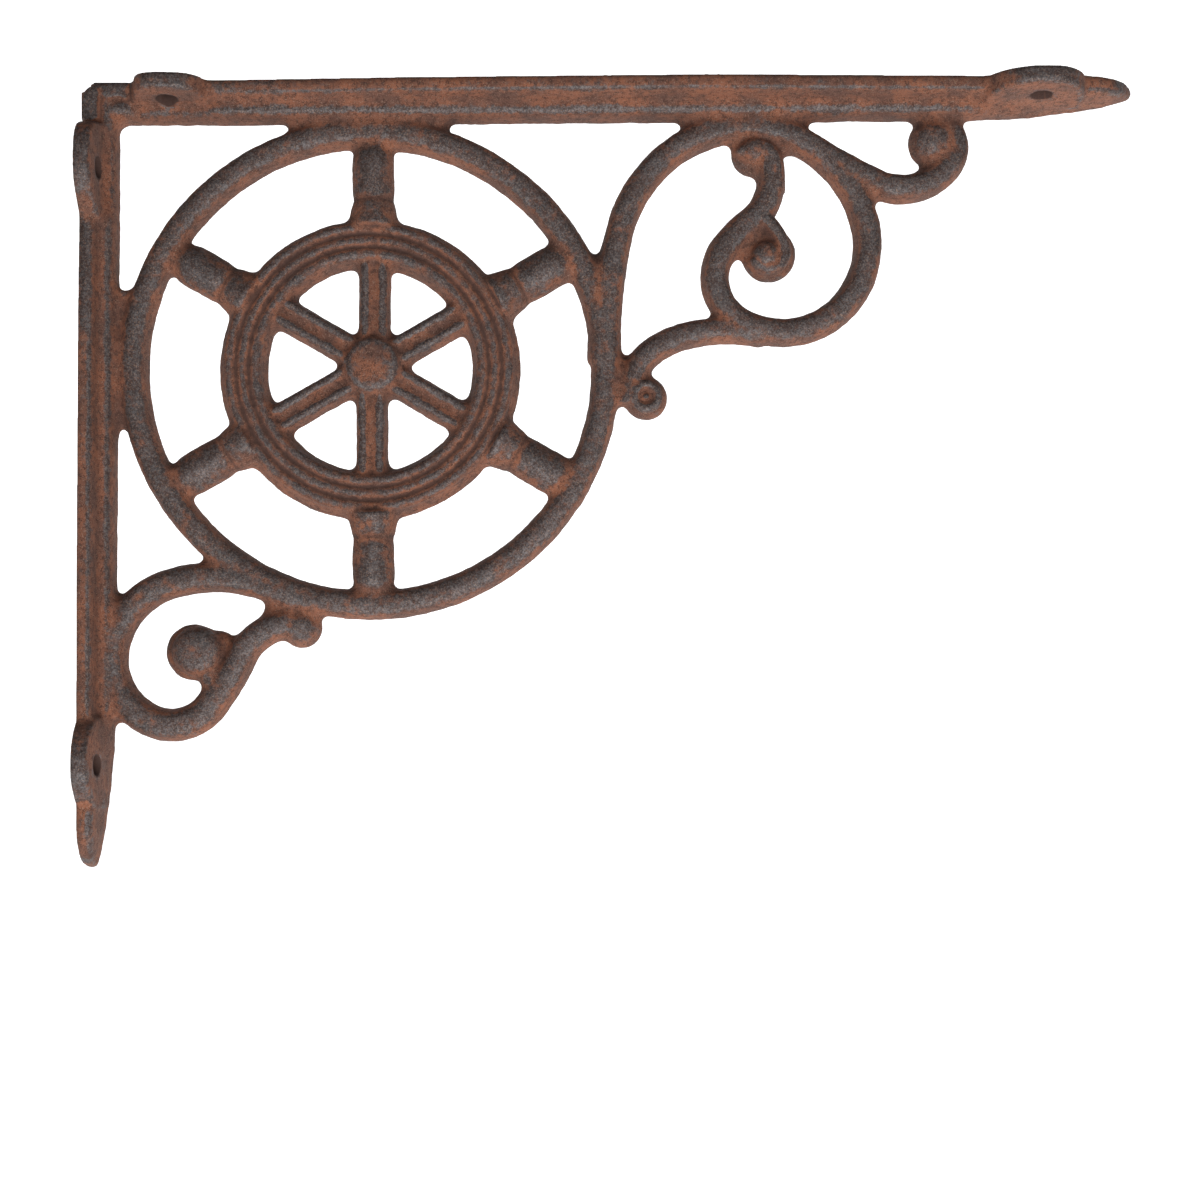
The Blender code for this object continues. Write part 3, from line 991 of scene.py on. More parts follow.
@dataclass
class Webs:
    """The iron that fills between the ring and the arms, and in the corner."""

    round_over: float = 0.7 * MM
    plate: float = 1.0 * MM
    lobe: Pairs = ((0.1, -10.6), (0.1, -3.4), (2.0, -1.2), (4.3, -1.2), (4.5, -10.2), (3.4, -10.9))
    lobe_rise: float = 9.2 * MM
    band: Pairs = (
        (4.2, -4.4),
        (2.0, -1.6),
        (3.4, -0.1),
        (12.7, -0.1),
        (12.2, -2.6),
        (12.6, -5.0),
        (10.6, -4.0),
    )
    band_rise: float = 8.2 * MM
    shelf_web: Pairs = ((56.7, -12.0), (99.7, -0.5))
    wall_web: Pairs = ((0.5, -92.0), (12.0, -56.8))
    web_rise: float = 5.0 * MM
    corner: Pairs = ((3.0, -10.8), (10.8, -3.0))
    corner_rise: float = 6.2 * MM

    def build_crests(self) -> list[bpy.types.Object]:
        """Model the two raised bands that meet at the corner.

        Returns:
            The two closed bands.
        """
        return [
            self.slab("corner_lobe", self.lobe, self.lobe_rise),
            self.slab("corner_band", self.band, self.band_rise),
        ]

    def slab(self, name: str, outline: Pairs, rise: float) -> bpy.types.Object:
        """Draw a flat outline up from the plate and round its edges over.

        Args:
            name: the new object's name.
            outline: its corners in millimetres from the two faces.
            rise: the height of its top.

        Returns:
            The closed slab.
        """
        slab = Bench.loft(
            name, [[DRAWING.place(x * MM, z * MM, level) for x, z in outline] for level in (self.plate, rise)]
        )
        Bench.apply(slab, "BEVEL", width=self.round_over, segments=3)
        return slab

    def block(self, name: str, corners: Pairs, rise: float) -> bpy.types.Object:
        """Model a plain block up from the back.

        Args:
            name: the new object's name.
            corners: two opposite corners in millimetres from the two faces.
            rise: the height of its top.

        Returns:
            The block.
        """
        (left, bottom), (right, top) = corners
        low = DRAWING.place(left * MM, bottom * MM, rise)
        high = DRAWING.place(right * MM, top * MM, 0)
        bpy.ops.object.select_all(action="DESELECT")
        bpy.ops.mesh.primitive_cube_add(size=1.0, location=(low + high) / 2, scale=high - low)
        block = bpy.context.object
        block.name = name
        bpy.ops.object.transform_apply()
        return block

    def build_body(self) -> list[bpy.types.Object]:
        """Model the three webs.

        Returns:
            The three closed blocks.
        """
        return [
            self.block("web_shelf", self.shelf_web, self.web_rise),
            self.block("web_wall", self.wall_web, self.web_rise),
            self.block("corner", self.corner, self.corner_rise),
        ]


@dataclass(frozen=True)
class RustAndDarkSpot:
    """A spot that holds rust on the casting and may be painted darker, in millimetres.

    rust tells how much rust it holds, darkening how much darker it is painted, and
    rise is the span of heights that it lies on.
    """

    x: float
    z: float
    radius: float
    rise: Span
    rust: float
    darkening: float


class SkinPoints:
    """The skin's points, where each lies on the bracket and how worn it is.

    across and down are the distances from the wall face and the shelf face, along
    and out those along the point's own arm and in from its face, and rise the
    height over the back. crest is 0.5 on flat iron, more on ridges and less in
    hollows. front is 1 where the iron faces the viewer squarely, and painted_shade
    is 1 where shade is painted fully, in recessed corners.
    """

    def __init__(self, mesh: bpy.types.Mesh) -> None:
        """Read the points, and how far each stands out from its surroundings.

        Args:
            mesh: the skin's mesh.
        """
        self.points = Bench.vectors(mesh.vertices, "co").astype(float)
        edges = np.empty(len(mesh.edges) * 2, dtype=np.int64)
        mesh.edges.foreach_get("vertices", edges)
        edges = edges.reshape(-1, 2)
        self.ends = np.concatenate([edges[:, 0], edges[:, 1]])
        self.others = np.concatenate([edges[:, 1], edges[:, 0]])
        self.degree = np.maximum(np.bincount(self.ends, minlength=len(self.points)), 1)
        self.across = self.points[:, 0]
        self.down = DRAWING.shelf_z - self.points[:, 2]
        self.rise = DRAWING.back_y - self.points[:, 1]
        self.on_shelf = self.down < self.across
        self.out, self.along = np.minimum(self.across, self.down), np.maximum(self.across, self.down)
        normals = self.blur(Bench.vectors(mesh.vertex_normals, "vector").astype(float), 6)
        normals /= np.maximum(np.linalg.norm(normals, axis=1, keepdims=True), 1e-9)
        near = self.blur(self.points, 16)
        wide = self.blur(near, 40)
        self.fine = np.einsum("ij,ij->i", self.points - near, normals) / MM
        self.broad = np.einsum("ij,ij->i", self.points - wide, normals) / MM
        self.front = np.clip(-normals[:, 1], 0, 1)
        self.crest = np.full(len(self.points), 0.5)
        self.painted_shade = np.zeros(len(self.points))

    def blur(self, values: np.ndarray, rounds: int) -> np.ndarray:
        """Average each point's values with its neighbours'.

        Args:
            values: three numbers for each point.
            rounds: how many times.

        Returns:
            The averaged values.
        """
        for _ in range(rounds):
            mixed = [
                np.bincount(self.ends, weights=values[self.others, axis], minlength=len(values))
                for axis in range(3)
            ]
            values = (values + np.stack(mixed, axis=1) / self.degree[:, None]) / 2
        return values

    def away_from(self, middle: Vector) -> np.ndarray:
        """Give each point's distance from a place, as the viewer sees it."""
        return np.linalg.norm(self.points[:, [0, 2]] - np.array((middle.x, middle.z)), axis=1)

    def darken(self, share: np.ndarray) -> None:
        """Raise each point's painted shade to a share where that is more."""
        self.painted_shade = np.maximum(self.painted_shade, share)


def between(values: np.ndarray, low: float, high: float, soft: float = 0.4) -> np.ndarray:
    """Find the values between two bounds.

    Args:
        values: the values, in metres.
        low: the lower bound in millimetres.
        high: the upper bound in millimetres.
        soft: how wide the fade inside each bound is, in millimetres.

    Returns:
        1 for values between the bounds, fading to 0 outside.
    """
    return np.clip((values / MM - low) / soft, 0, 1) * np.clip((high - values / MM) / soft, 0, 1)


@dataclass
class Relief:
    """Where handling has rubbed the casting, where rust has stayed, and where shade is painted darker in
    hollows, holes, grooves and under the straps.

    The spans are in millimetres.
    """

    shelf: Strap
    wall: Strap
    wheel: ShipsWheel = field(default_factory=ShipsWheel)
    fine_share: float = 4.6
    broad_share: float = 1.1
    deep_start: float = 0.24
    deep_span: float = 0.62
    band_share: float = 0.55
    shelf_band: float = 3.3
    wall_band: float = 2.9
    barrels: Span = (47.6, 60.5)
    handle_seam: Span = (46.1, 47.3)
    rim: Span = (30.4, 40.4)
    hub: Span = (-1.0, 6.6)
    rib_out: Span = (5.2, 8.8)
    rib_rise: Span = (7.0, 10.0)
    rib_along: Span = (38.0, 245.0)
    under_out: Span = (7.6, 11.2)
    under_rise: Span = (0.4, 8.4)
    under_along: Span = (14.0, 246.0)
    shelf_ear_ends: Span = (34.3, 250.0)
    wall_ear_ends: Span = (35.0, 200.0)
    corner_seams: tuple[tuple[Span, Span], ...] = (
        ((4.7, 5.7), (3.4, 11.0)),
        ((10.0, 13.2), (4.9, 5.9)),
        ((12.9, 14.2), (-1.0, 5.4)),
        ((-1.0, 4.6), (10.9, 11.8)),
    )
    spots: tuple[RustAndDarkSpot, ...] = (
        RustAndDarkSpot(189.6, -47.3, 1.9, (5, 20), 0.4, 0.0),
        RustAndDarkSpot(186.9, -18.6, 1.6, (5, 20), 0.35, 0.0),
        # The next two spots paint shade into the two pits of the tail scroll.
        RustAndDarkSpot(231.6, -11.4, 2.3, (3, 10), 0.4, 0.9),
        RustAndDarkSpot(241.4, -10.9, 1.9, (3, 10), 0.4, 0.8),
        RustAndDarkSpot(3.2, -213.6, 1.5, (9, 20), 0.4, 0.9),
    )

    def store(self, skin: bpy.types.Object) -> None:
        """Store the relief as the skin's attributes 'crest', 'front' and 'painted_shade'.

        Args:
            skin: the casting's skin.
        """
        on = SkinPoints(skin.data)
        on.crest = 0.5 + 0.5 * np.tanh(self.fine_share * on.fine + self.broad_share * on.broad)
        on.crest = on.crest - self.band_share * self.plain_band(on)
        # Painted shade in broad hollows, darker the further they sink below their surroundings.
        on.painted_shade = np.clip((-on.broad - self.deep_start) / self.deep_span, 0, 1)
        for arm in (self.shelf, self.wall):
            holes = arm.inside_holes(on.points)
            # The screw holes' walls get rust, and painted shade inside them.
            on.crest = on.crest - holes
            on.darken(1.2 * holes)
        self.mark_wheel(on)
        self.mark_straps(on)
        self.mark_spots(on)
        found = {"crest": np.clip(on.crest, 0, 1), "front": on.front, "painted_shade": on.painted_shade}
        for name, values in found.items():
            layer = skin.data.attributes.new(name, "FLOAT", "POINT")
            layer.data.foreach_set("value", values.astype(np.float32))

    def far_screw(self, on: SkinPoints) -> np.ndarray:
        """Give the place of the far screw on each point's arm."""
        return np.where(on.on_shelf, self.shelf.ears[1].screw, self.wall.ears[1].screw)

    def mark_wheel(self, on: SkinPoints) -> None:
        """Mark the ship's wheel: its rubbed handles, rust and painted shade in their necks, and painted shade
        in the rim's grooves.

        Args:
            on: the skin's points.
        """
        from_pivot = on.away_from(self.wheel.centre(self.wheel.handle_shift))
        from_hub = on.away_from(self.wheel.centre(self.wheel.hub_shift))
        barrels = between(from_pivot, *self.barrels, 1.0) * between(on.rise, 3, 20, 2.0)
        seams = between(from_pivot, *self.handle_seam)
        rim = between(on.away_from(self.wheel.centre()), *self.rim) * between(on.rise, 6, 20)
        hub = between(from_hub, *self.hub, 1.0) * between(on.rise, 8, 20)
        on.crest = on.crest + 0.12 * barrels - 0.5 * seams - 0.2 * rim - 0.22 * hub
        # Painted shade in the handles' necks and in the rim's grooves.
        on.darken(0.8 * seams)
        on.darken(rim * np.clip(-on.fine / 0.12, 0, 1))

    def mark_straps(self, on: SkinPoints) -> None:
        """Mark the two straps: their rubbed ribs and tongues, and painted shade under the shelf strap and
        along the corner's seams.

        Args:
            on: the skin's points.
        """
        ribs = between(on.out, *self.rib_out, 0.8) * between(on.rise, *self.rib_rise)
        ribs = ribs * between(on.along, *self.rib_along, 8.0)
        tongues = between(on.along - self.far_screw(on), -8, 40, 8.0) * between(on.rise, 4, 30, 2.0)
        on.crest = on.crest + 0.25 * ribs + 0.14 * tongues * (on.out < 10.5 * MM)
        for own, places in ((on.down, self.shelf_ear_ends), (on.across, self.wall_ear_ends)):
            for place in places:
                ends = between(on.along, place - 1.8, place + 1.8, 0.8) * between(on.out, -1, 4.4)
                on.crest = on.crest - 0.4 * ends * (own <= on.out)
        # Painted shade along the underside of the shelf strap, where the ring and scrolls meet it.
        under = between(on.down, *self.under_out, 1.2) * between(on.rise, *self.under_rise, 1.5)
        on.darken(0.4 * under * between(on.across, *self.under_along, 6.0))
        # Painted shadow lines along the steps of the corner's raised bands.
        for across, down in self.corner_seams:
            on.darken(0.8 * between(on.across, *across) * between(on.down, *down))

    def mark_spots(self, on: SkinPoints) -> None:
        """Mark the single spots of rust and of painted darkening.

        Args:
            on: the skin's points.
        """
        for given_spot in self.spots:
            away = on.away_from(DRAWING.place(given_spot.x * MM, given_spot.z * MM, 0))
            spot = between(away, -1, given_spot.radius, 1.2) * between(on.rise, *given_spot.rise, 1.0)
            on.crest = on.crest - given_spot.rust * spot
            # Darkens the spot; at the tail scroll's pits this is painted shade.
            on.darken(given_spot.darkening * spot)

    def plain_band(self, on: SkinPoints) -> np.ndarray:
        """Find the flat front edge of the straps, which handling doesn't reach.

        Args:
            on: the skin's points.

        Returns:
            A number from 0 to 1 for each point.
        """
        near = np.abs(on.along - self.wall.ears[0].screw)
        clear = np.minimum(near, np.abs(on.along - self.far_screw(on))) / MM
        width = np.where(on.on_shelf, self.shelf_band, self.wall_band)
        band = np.clip((width - on.out / MM) / 0.5, 0, 1) * np.clip((on.rise / MM - 10) / 2, 0, 1)
        band *= np.where(on.on_shelf, 1.0, np.clip((on.along / MM - 60) / 20, 0, 1))
        return band * np.clip((clear - 10) / 1.5, 0, 1)


@dataclass
class Casting:
    """The whole bracket as one skin."""

    shelf: Strap = Strap(
        Arm.SHELF,
        DRAWING.shelf_length,
        (
            Ear(23.8 * MM, 10.4 * MM, 18.6 * MM, 9 * MM, 9.2 * MM, 0.0, 10.6 * MM, 0.12),
            Ear(263.5 * MM, 15 * MM, 25 * MM, 12.5 * MM, 14.4 * MM, 0.3, 12.2 * MM, 0.3),
        ),
        feet=(10.4 * MM, 9.1 * MM),
        near_edge=3.6 * MM,
        depths=(10.6 * MM, 16.6 * MM, 15.0 * MM),
        tip=17 * MM,
        tip_round=0.62,
    )
    wall: Strap = Strap(
        Arm.WALL,
        DRAWING.wall_length,
        (
            Ear(24.5 * MM, 12 * MM, 20.6 * MM, 9 * MM, 13.0 * MM, 0.1, 14.2 * MM, 0.55),
            Ear(188.5 * MM, 14.5 * MM, 23.6 * MM, 12.5 * MM, 13.0 * MM, 0.35, 12.0 * MM, 0.45),
        ),
        feet=(9.3 * MM, 8.2 * MM),
        near_edge=4.6 * MM,
        depths=(12.2 * MM, 15.6 * MM, 16.2 * MM),
        tip=12 * MM,
        tip_round=0.5,
    )
    grain: float = 0.5 * MM
    body_grain: float = 0.65 * MM
    fillet: float = 0.7 * MM
    faces: int = 194000
    wave_size: float = 7.0 * MM
    wave_depth: float = 0.34 * MM
    lump_size: float = 2.2 * MM
    lump_depth: float = 0.26 * MM
    flat_reach: float = 0.6 * MM
    flat_facing: float = 0.75

    def fuse(self, body: list[bpy.types.Object], crests: list[bpy.types.Object]) -> bpy.types.Object:
        """Fuse the forms, with fillets between those of the body.

        The body is swollen, skinned and shrunk again, which leaves its hollows
        rounded. The crests are added after that and stay crisp.

        Args:
            body: the forms that run into each other.
            crests: the fine forms that lie on them.

        Returns:
            The fused skin.
        """
        skin = Bench.join(body, SKIN)
        Bench.skin(skin, self.body_grain)
        Bench.apply(skin, "DISPLACE", strength=self.fillet, mid_level=0.0)
        Bench.skin(skin, self.body_grain)
        Bench.apply(skin, "DISPLACE", strength=-self.fillet, mid_level=0.0)
        Bench.apply(skin, "SMOOTH", factor=0.5, iterations=2)
        skin = Bench.join([skin, *crests], SKIN)
        Bench.skin(skin, self.grain)
        return skin

    def roughen(self, skin: bpy.types.Object) -> None:
        """Soften the skin and give it the slight waves and lumps of a sand casting.

        Args:
            skin: the casting's skin.
        """
        Bench.apply(skin, "SMOOTH", factor=0.5, iterations=4)
        for name, size, depth in (
            ("cast_waves", self.wave_size, self.wave_depth),
            ("cast_lumps", self.lump_size, self.lump_depth),
        ):
            pattern = bpy.data.textures.new(name, "CLOUDS")
            pattern.noise_scale = size
            pattern.noise_depth = 1
            Bench.apply(
                skin, "DISPLACE", texture=pattern, texture_coords="LOCAL", strength=depth, mid_level=0.5
            )

    def true_up(self, skin: bpy.types.Object) -> None:
        """Make the back and the two mounting faces flat.

        Args:
            skin: the casting's skin.
        """
        points = Bench.vectors(skin.data.vertices, "co")
        normals = Bench.vectors(skin.data.vertex_normals, "vector")
        for axis, way, level in ((1, 1, DRAWING.back_y), (0, -1, 0.0), (2, 1, DRAWING.shelf_z)):
            near = np.abs(points[:, axis] - level) < self.flat_reach
            points[near & (normals[:, axis] * way > self.flat_facing), axis] = level
        Bench.move_points(skin, points)

    def keep_inside(self, skin: bpy.types.Object) -> None:
        """Bring every point that lies outside the bracket's box back to its faces.

        Args:
            skin: the casting's skin.
        """
        low = (0.0, DRAWING.front_y, DRAWING.shelf_z - DRAWING.wall_length)
        high = (DRAWING.shelf_length, DRAWING.back_y, DRAWING.shelf_z)
        points = Bench.vectors(skin.data.vertices, "co")
        Bench.move_points(skin, np.clip(points, np.array(low, np.float32), np.array(high, np.float32)))

    def thin(self, skin: bpy.types.Object) -> None:
        """Thin the skin to its count of triangles and shade it smooth.

        Args:
            skin: the casting's skin.
        """
        skin.data.calc_loop_triangles()
        share = self.faces / len(skin.data.loop_triangles)
        if share < 1:
            Bench.apply(skin, "DECIMATE", ratio=share, use_collapse_triangulate=True)
        Bench.take(skin)
        bpy.ops.object.shade_smooth()

    def build(self) -> bpy.types.Object:
        """Model every form and fuse them.

        Returns:
            The finished skin, without its finish.
        """
        scrolls, wheel, webs = Scrolls(), ShipsWheel(), Webs()
        body = [self.shelf.plate(), self.wall.plate(), *self.shelf.build_ears(), *self.wall.build_ears()]
        LOG.info("arms drawn out")
        body += webs.build_body() + wheel.build_body()
        LOG.info("ring and wheel modelled")
        body += scrolls.build_body()
        LOG.info("scrolls and eyes modelled")
        crests = self.shelf.build_ears() + self.wall.build_ears() + webs.build_crests()
        crests += wheel.build_crests() + scrolls.build_crests()
        skin = self.fuse(body, crests)
        LOG.info("forms fused: %d points", len(skin.data.vertices))
        self.roughen(skin)
        self.true_up(skin)
        self.keep_inside(skin)
        for arm in (self.shelf, self.wall):
            arm.drill_through(skin)
        Relief(self.shelf, self.wall).store(skin)
        self.thin(skin)
        self.keep_inside(skin)
        LOG.info("casting skin: %d triangles", len(skin.data.polygons))
        return skin


class Nodes:
    """A node tree with short ways to add and join its nodes."""

    def __init__(self, tree: bpy.types.NodeTree) -> None:
        """Start work on a tree."""
        self.tree = tree

    def add(self, kind: str, **values: object) -> bpy.types.Node:
        """Add one node.

        Args:
            kind: the node's type.
            values: its properties by name.

        Returns:
            The node.
        """
        node = self.tree.nodes.new(kind)
        for key, value in values.items():
            setattr(node, key, value)
        return node

    def feed(self, socket: bpy.types.NodeSocket, source: object) -> None:
        """Join a socket to an output, or set it to a plain value.

        Args:
            socket: the socket.
            source: the output, or the value.
        """
        if isinstance(source, bpy.types.NodeSocket):
            self.tree.links.new(source, socket)
        else:
            socket.default_value = source

    def maths(self, operation: str, *sources: object, clamp: bool = False) -> bpy.types.NodeSocket:
        """Work out one sum of values.

        Args:
            operation: the operation's name.
            sources: the outputs or numbers that go in.
            clamp: whether the result stays from 0 to 1.

        Returns:
            The result's output.
        """
        node = self.add("ShaderNodeMath", operation=operation, use_clamp=clamp)
        for socket, source in zip(node.inputs, sources):
            self.feed(socket, source)
        return node.outputs[0]

    def span(self, value: object, low: float, high: float) -> bpy.types.NodeSocket:
        """Give 0 at low and 1 at high, with a smooth way between them.

        Args:
            value: the value's output.
            low: the value that gives 0.
            high: the value that gives 1.

        Returns:
            The result's output.
        """
        node = self.add("ShaderNodeMapRange", interpolation_type="SMOOTHSTEP", clamp=True)
        for key, source in (("Value", value), ("From Min", low), ("From Max", high)):
            self.feed(node.inputs[key], source)
        return node.outputs["Result"]

    def noise(self, vector: object, size: float, detail: float, rough: float) -> bpy.types.NodeSocket:
        """Add a noise.

        Args:
            vector: the output that gives the place.
            size: how wide its lumps are, in metres.
            detail: how many finer layers it has.
            rough: how strong those are.

        Returns:
            The noise's output.
        """
        node = self.add("ShaderNodeTexNoise")
        self.feed(node.inputs["Vector"], vector)
        node.inputs["Scale"].default_value = 1.0 / size
        node.inputs["Detail"].default_value = detail
        node.inputs["Roughness"].default_value = rough
        return node.outputs["Fac"]

    def mix(self, share: object, first: object, second: object) -> bpy.types.NodeSocket:
        """Mix two colours.

        Args:
            share: how much of the second, from 0 to 1.
            first: the first colour.
            second: the second colour.

        Returns:
            The mixed colour's output.
        """
        node = self.add("ShaderNodeMix", data_type="RGBA")
        self.feed(node.inputs["Factor"], share)
        self.feed(node.inputs[6], first)
        self.feed(node.inputs[7], second)
        return node.outputs[2]

    def blend(self, share: object, first: float, second: float) -> bpy.types.NodeSocket:
        """Mix two numbers.

        Args:
            share: how much of the second, from 0 to 1.
            first: the first number.
            second: the second number.

        Returns:
            The mixed number's output.
        """
        node = self.add("ShaderNodeMix", data_type="FLOAT")
        self.feed(node.inputs["Factor"], share)
        self.feed(node.inputs["A"], first)
        self.feed(node.inputs["B"], second)
        return node.outputs[0]

    def group(self, tree: bpy.types.NodeTree, **sources: object) -> bpy.types.Node:
        """Place a node group and feed its inputs by name.

        Args:
            tree: the group.
            sources: what goes into its inputs, with _ for a space in a name.

        Returns:
            The group's node.
        """
        node = self.add("ShaderNodeGroup", node_tree=tree)
        for key, source in sources.items():
            self.feed(node.inputs[key.replace("_", " ")], source)
        return node


def new_group(
    name: str, inputs: list[str], outputs: list[str]
) -> tuple[Nodes, bpy.types.Node, bpy.types.Node]:
    """Start a node group that takes a place and some numbers, and gives numbers.

    Args:
        name: the group's name.
        inputs: the names of its number inputs.
        outputs: the names of its number outputs.

    Returns:
        The nodes, the group's input node and its output node.
    """
    tree = bpy.data.node_groups.new(name, "ShaderNodeTree")
    tree.interface.new_socket("Vector", in_out="INPUT", socket_type="NodeSocketVector")
    for key in inputs:
        socket = tree.interface.new_socket(key, in_out="INPUT", socket_type="NodeSocketFloat")
        socket.default_value = 0.5
    for key in outputs:
        tree.interface.new_socket(key, in_out="OUTPUT", socket_type="NodeSocketFloat")
    nodes = Nodes(tree)
    return nodes, nodes.add("NodeGroupInput"), nodes.add("NodeGroupOutput")


@dataclass(frozen=True)
class RustedIron:
    """Bare cast iron, rust brown with rubbed dark grey crests, painted shade in its hollows and painted
    glints.
    """

    rust: Colour = (0.185, 0.065, 0.032, 1.0)
    brown: Colour = (0.088, 0.037, 0.024, 1.0)
    # Dark brown for the painted shade and for the sand grain's pits.
    shade_and_pit_brown: Colour = (0.036, 0.015, 0.010, 1.0)
    grey: Colour = (0.090, 0.084, 0.085, 1.0)
    dark: Colour = (0.020, 0.0185, 0.0195, 1.0)
    # Light tan of the painted glints, light specks that stand in for glints of light.
    painted_glint: Colour = (0.22, 0.135, 0.095, 1.0)
    wear: float = 0.5
    patches: float = 0.9
    grains: float = 1.0
    pits: float = 0.85
    painted_glints: float = 0.55
    sand_size: float = 0.34 * MM
    lump_size: float = 1.3 * MM
    glint_size: float = 0.36 * MM
    patch_size: float = 6.0 * MM
    wear_size: float = 1.5 * MM
    bloom_size: float = 9 * MM
    speck_size: float = 0.6 * MM
    sand_share: float = 0.55
    lump_share: float = 0.45
    pit_span: Span = (0.54, 0.38)
    glint_span: Span = (0.56, 0.72)
    rubbed_span: Span = (0.84, 1.26)
    bloom_span: Span = (0.36, 0.62)
    speck_span: Span = (0.36, 0.64)
    facing_power: float = 3.0
    facing_share: float = 0.5
    shade_cover: float = 0.85
    iron_cover: float = 0.9
    rough: Span = (0.88, 0.5)
    pit_rough: float = 0.15
    metal: float = 0.4
    grain_depth: float = 0.22 * MM
    grain_strength: float = 0.9

    def sand_grain(self) -> bpy.types.NodeTree:
        """Make the grain that moulding sand leaves on iron.

        Returns:
            A group that gives the grain's height, its dark pits and the mask of its painted glints, light
            specks that stand in for glints of light.
        """
        nodes, given, result = new_group(
            "sand_grain", ["Pits", "Flecks"], ["Height", "Pit Mask", "Glint Mask"]
        )
        vector = given.outputs["Vector"]
        sand = nodes.noise(vector, self.sand_size, 2.0, 0.7)
        lumps = nodes.noise(vector, self.lump_size, 2.0, 0.55)
        painted_glints = nodes.noise(vector, self.glint_size, 1.0, 0.5)
        sand, lumps = (
            nodes.maths("MULTIPLY", noise, share)
            for noise, share in ((sand, self.sand_share), (lumps, self.lump_share))
        )
        height = nodes.maths("ADD", sand, lumps)
        pit = nodes.span(height, *self.pit_span)
        painted_glint = nodes.span(painted_glints, *self.glint_span)
        nodes.feed(result.inputs["Height"], height)
        nodes.feed(result.inputs["Pit Mask"], nodes.maths("MULTIPLY", pit, given.outputs["Pits"]))
        nodes.feed(result.inputs["Glint Mask"], nodes.maths("MULTIPLY", painted_glint, given.outputs["Flecks"]))
        return nodes.tree

    def rubbed_crests(self) -> bpy.types.NodeTree:
        """Make the mask of the places where handling has rubbed the rust off.

        Returns:
            A group that gives the rubbed mask.
        """
        nodes, given, result = new_group(
            "rubbed_crests", ["Crest", "Front", "Wear", "Patches", "Grains"], ["Rubbed"]
        )
        vector = given.outputs["Vector"]
        patches = nodes.maths("SUBTRACT", nodes.noise(vector, self.patch_size, 3.0, 0.6), 0.5)
        grains = nodes.maths("SUBTRACT", nodes.noise(vector, self.wear_size, 4.0, 0.85), 0.5)
        patches = nodes.maths("MULTIPLY", patches, given.outputs["Patches"])
        grains = nodes.maths("MULTIPLY", grains, given.outputs["Grains"])
        facing = nodes.maths("POWER", given.outputs["Front"], self.facing_power)
        facing = nodes.maths("MULTIPLY", facing, self.facing_share)
        lit = nodes.maths("ADD", given.outputs["Crest"], facing)
        level = nodes.maths("ADD", lit, nodes.maths("ADD", patches, grains))
        level = nodes.maths("ADD", level, nodes.maths("SUBTRACT", given.outputs["Wear"], 0.5))
        nodes.feed(result.inputs["Rubbed"], nodes.span(level, *self.rubbed_span))
        return nodes.tree

    def material(self) -> bpy.types.Material:
        """Build the finish.

        Returns:
            The material.
        """
        material = bpy.data.materials.new(SLOT)
        material.use_nodes = True
        nodes = Nodes(material.node_tree)
        shader = material.node_tree.nodes["Principled BSDF"]
        vector = nodes.add("ShaderNodeTexCoord").outputs["Object"]
        crest, front, painted_shade = (
            nodes.add("ShaderNodeAttribute", attribute_name=name).outputs["Fac"]
            for name in ("crest", "front", "painted_shade")
        )
        grain = nodes.group(self.sand_grain(), Vector=vector, Pits=self.pits, Flecks=self.painted_glints)
        pits, painted_glints = grain.outputs["Pit Mask"], grain.outputs["Glint Mask"]
        worn = nodes.group(
            self.rubbed_crests(),
            Vector=vector,
            Crest=crest,
            Front=front,
            Wear=self.wear,
            Patches=self.patches,
            Grains=self.grains,
        ).outputs["Rubbed"]
        bloom = nodes.span(nodes.noise(vector, self.bloom_size, 5.0, 0.65), *self.bloom_span)
        rust = nodes.mix(bloom, self.brown, self.rust)
        # Painted shade: the rust runs towards a dark brown where painted_shade is high.
        rust = nodes.mix(nodes.maths("MULTIPLY", painted_shade, self.shade_cover, clamp=True), rust, self.shade_and_pit_brown)
        specks = nodes.span(nodes.noise(vector, self.speck_size, 2.0, 0.7), *self.speck_span)
        iron = nodes.mix(specks, self.dark, self.grey)
        colour = nodes.mix(nodes.maths("MULTIPLY", worn, self.iron_cover), rust, iron)
        colour = nodes.mix(pits, colour, self.shade_and_pit_brown)
        # Painted glints: light specks mixed in wherever no shade is painted.
        unshaded = nodes.maths("SUBTRACT", 1.0, painted_shade, clamp=True)
        colour = nodes.mix(nodes.maths("MULTIPLY", painted_glints, unshaded), colour, self.painted_glint)
        nodes.feed(shader.inputs["Base Color"], colour)
        rough = nodes.blend(worn, *self.rough)
        rough = nodes.maths("ADD", rough, nodes.maths("MULTIPLY", pits, self.pit_rough))
        nodes.feed(shader.inputs["Roughness"], rough)
        nodes.feed(shader.inputs["Metallic"], nodes.blend(worn, 0.0, self.metal))
        bump = nodes.add("ShaderNodeBump")
        bump.inputs["Strength"].default_value = self.grain_strength
        bump.inputs["Distance"].default_value = self.grain_depth
        nodes.feed(bump.inputs["Height"], grain.outputs["Height"])
        nodes.feed(shader.inputs["Normal"], bump.outputs["Normal"])
        return material

    def dress(self, obj: bpy.types.Object) -> None:
        """Give an object this finish alone."""
        obj.data.materials.clear()
        obj.data.materials.append(self.material())


@dataclass(frozen=True)
class Softbox:
    """One soft square light, in metres and watts."""

    name: str
    spot: tuple[float, float, float]
    size: float
    power: float

    def hang(self, aim: Vector) -> None:
        """Hang the light.

        Args:
            aim: what it points at.
        """
        spot = Vector(self.spot)
        bpy.ops.object.light_add(type="AREA", location=spot)
        light = bpy.context.object
        light.name = self.name
        light.data.size = self.size
        light.data.energy = self.power
        light.rotation_euler = (aim - spot).to_track_quat("-Z", "Y").to_euler()


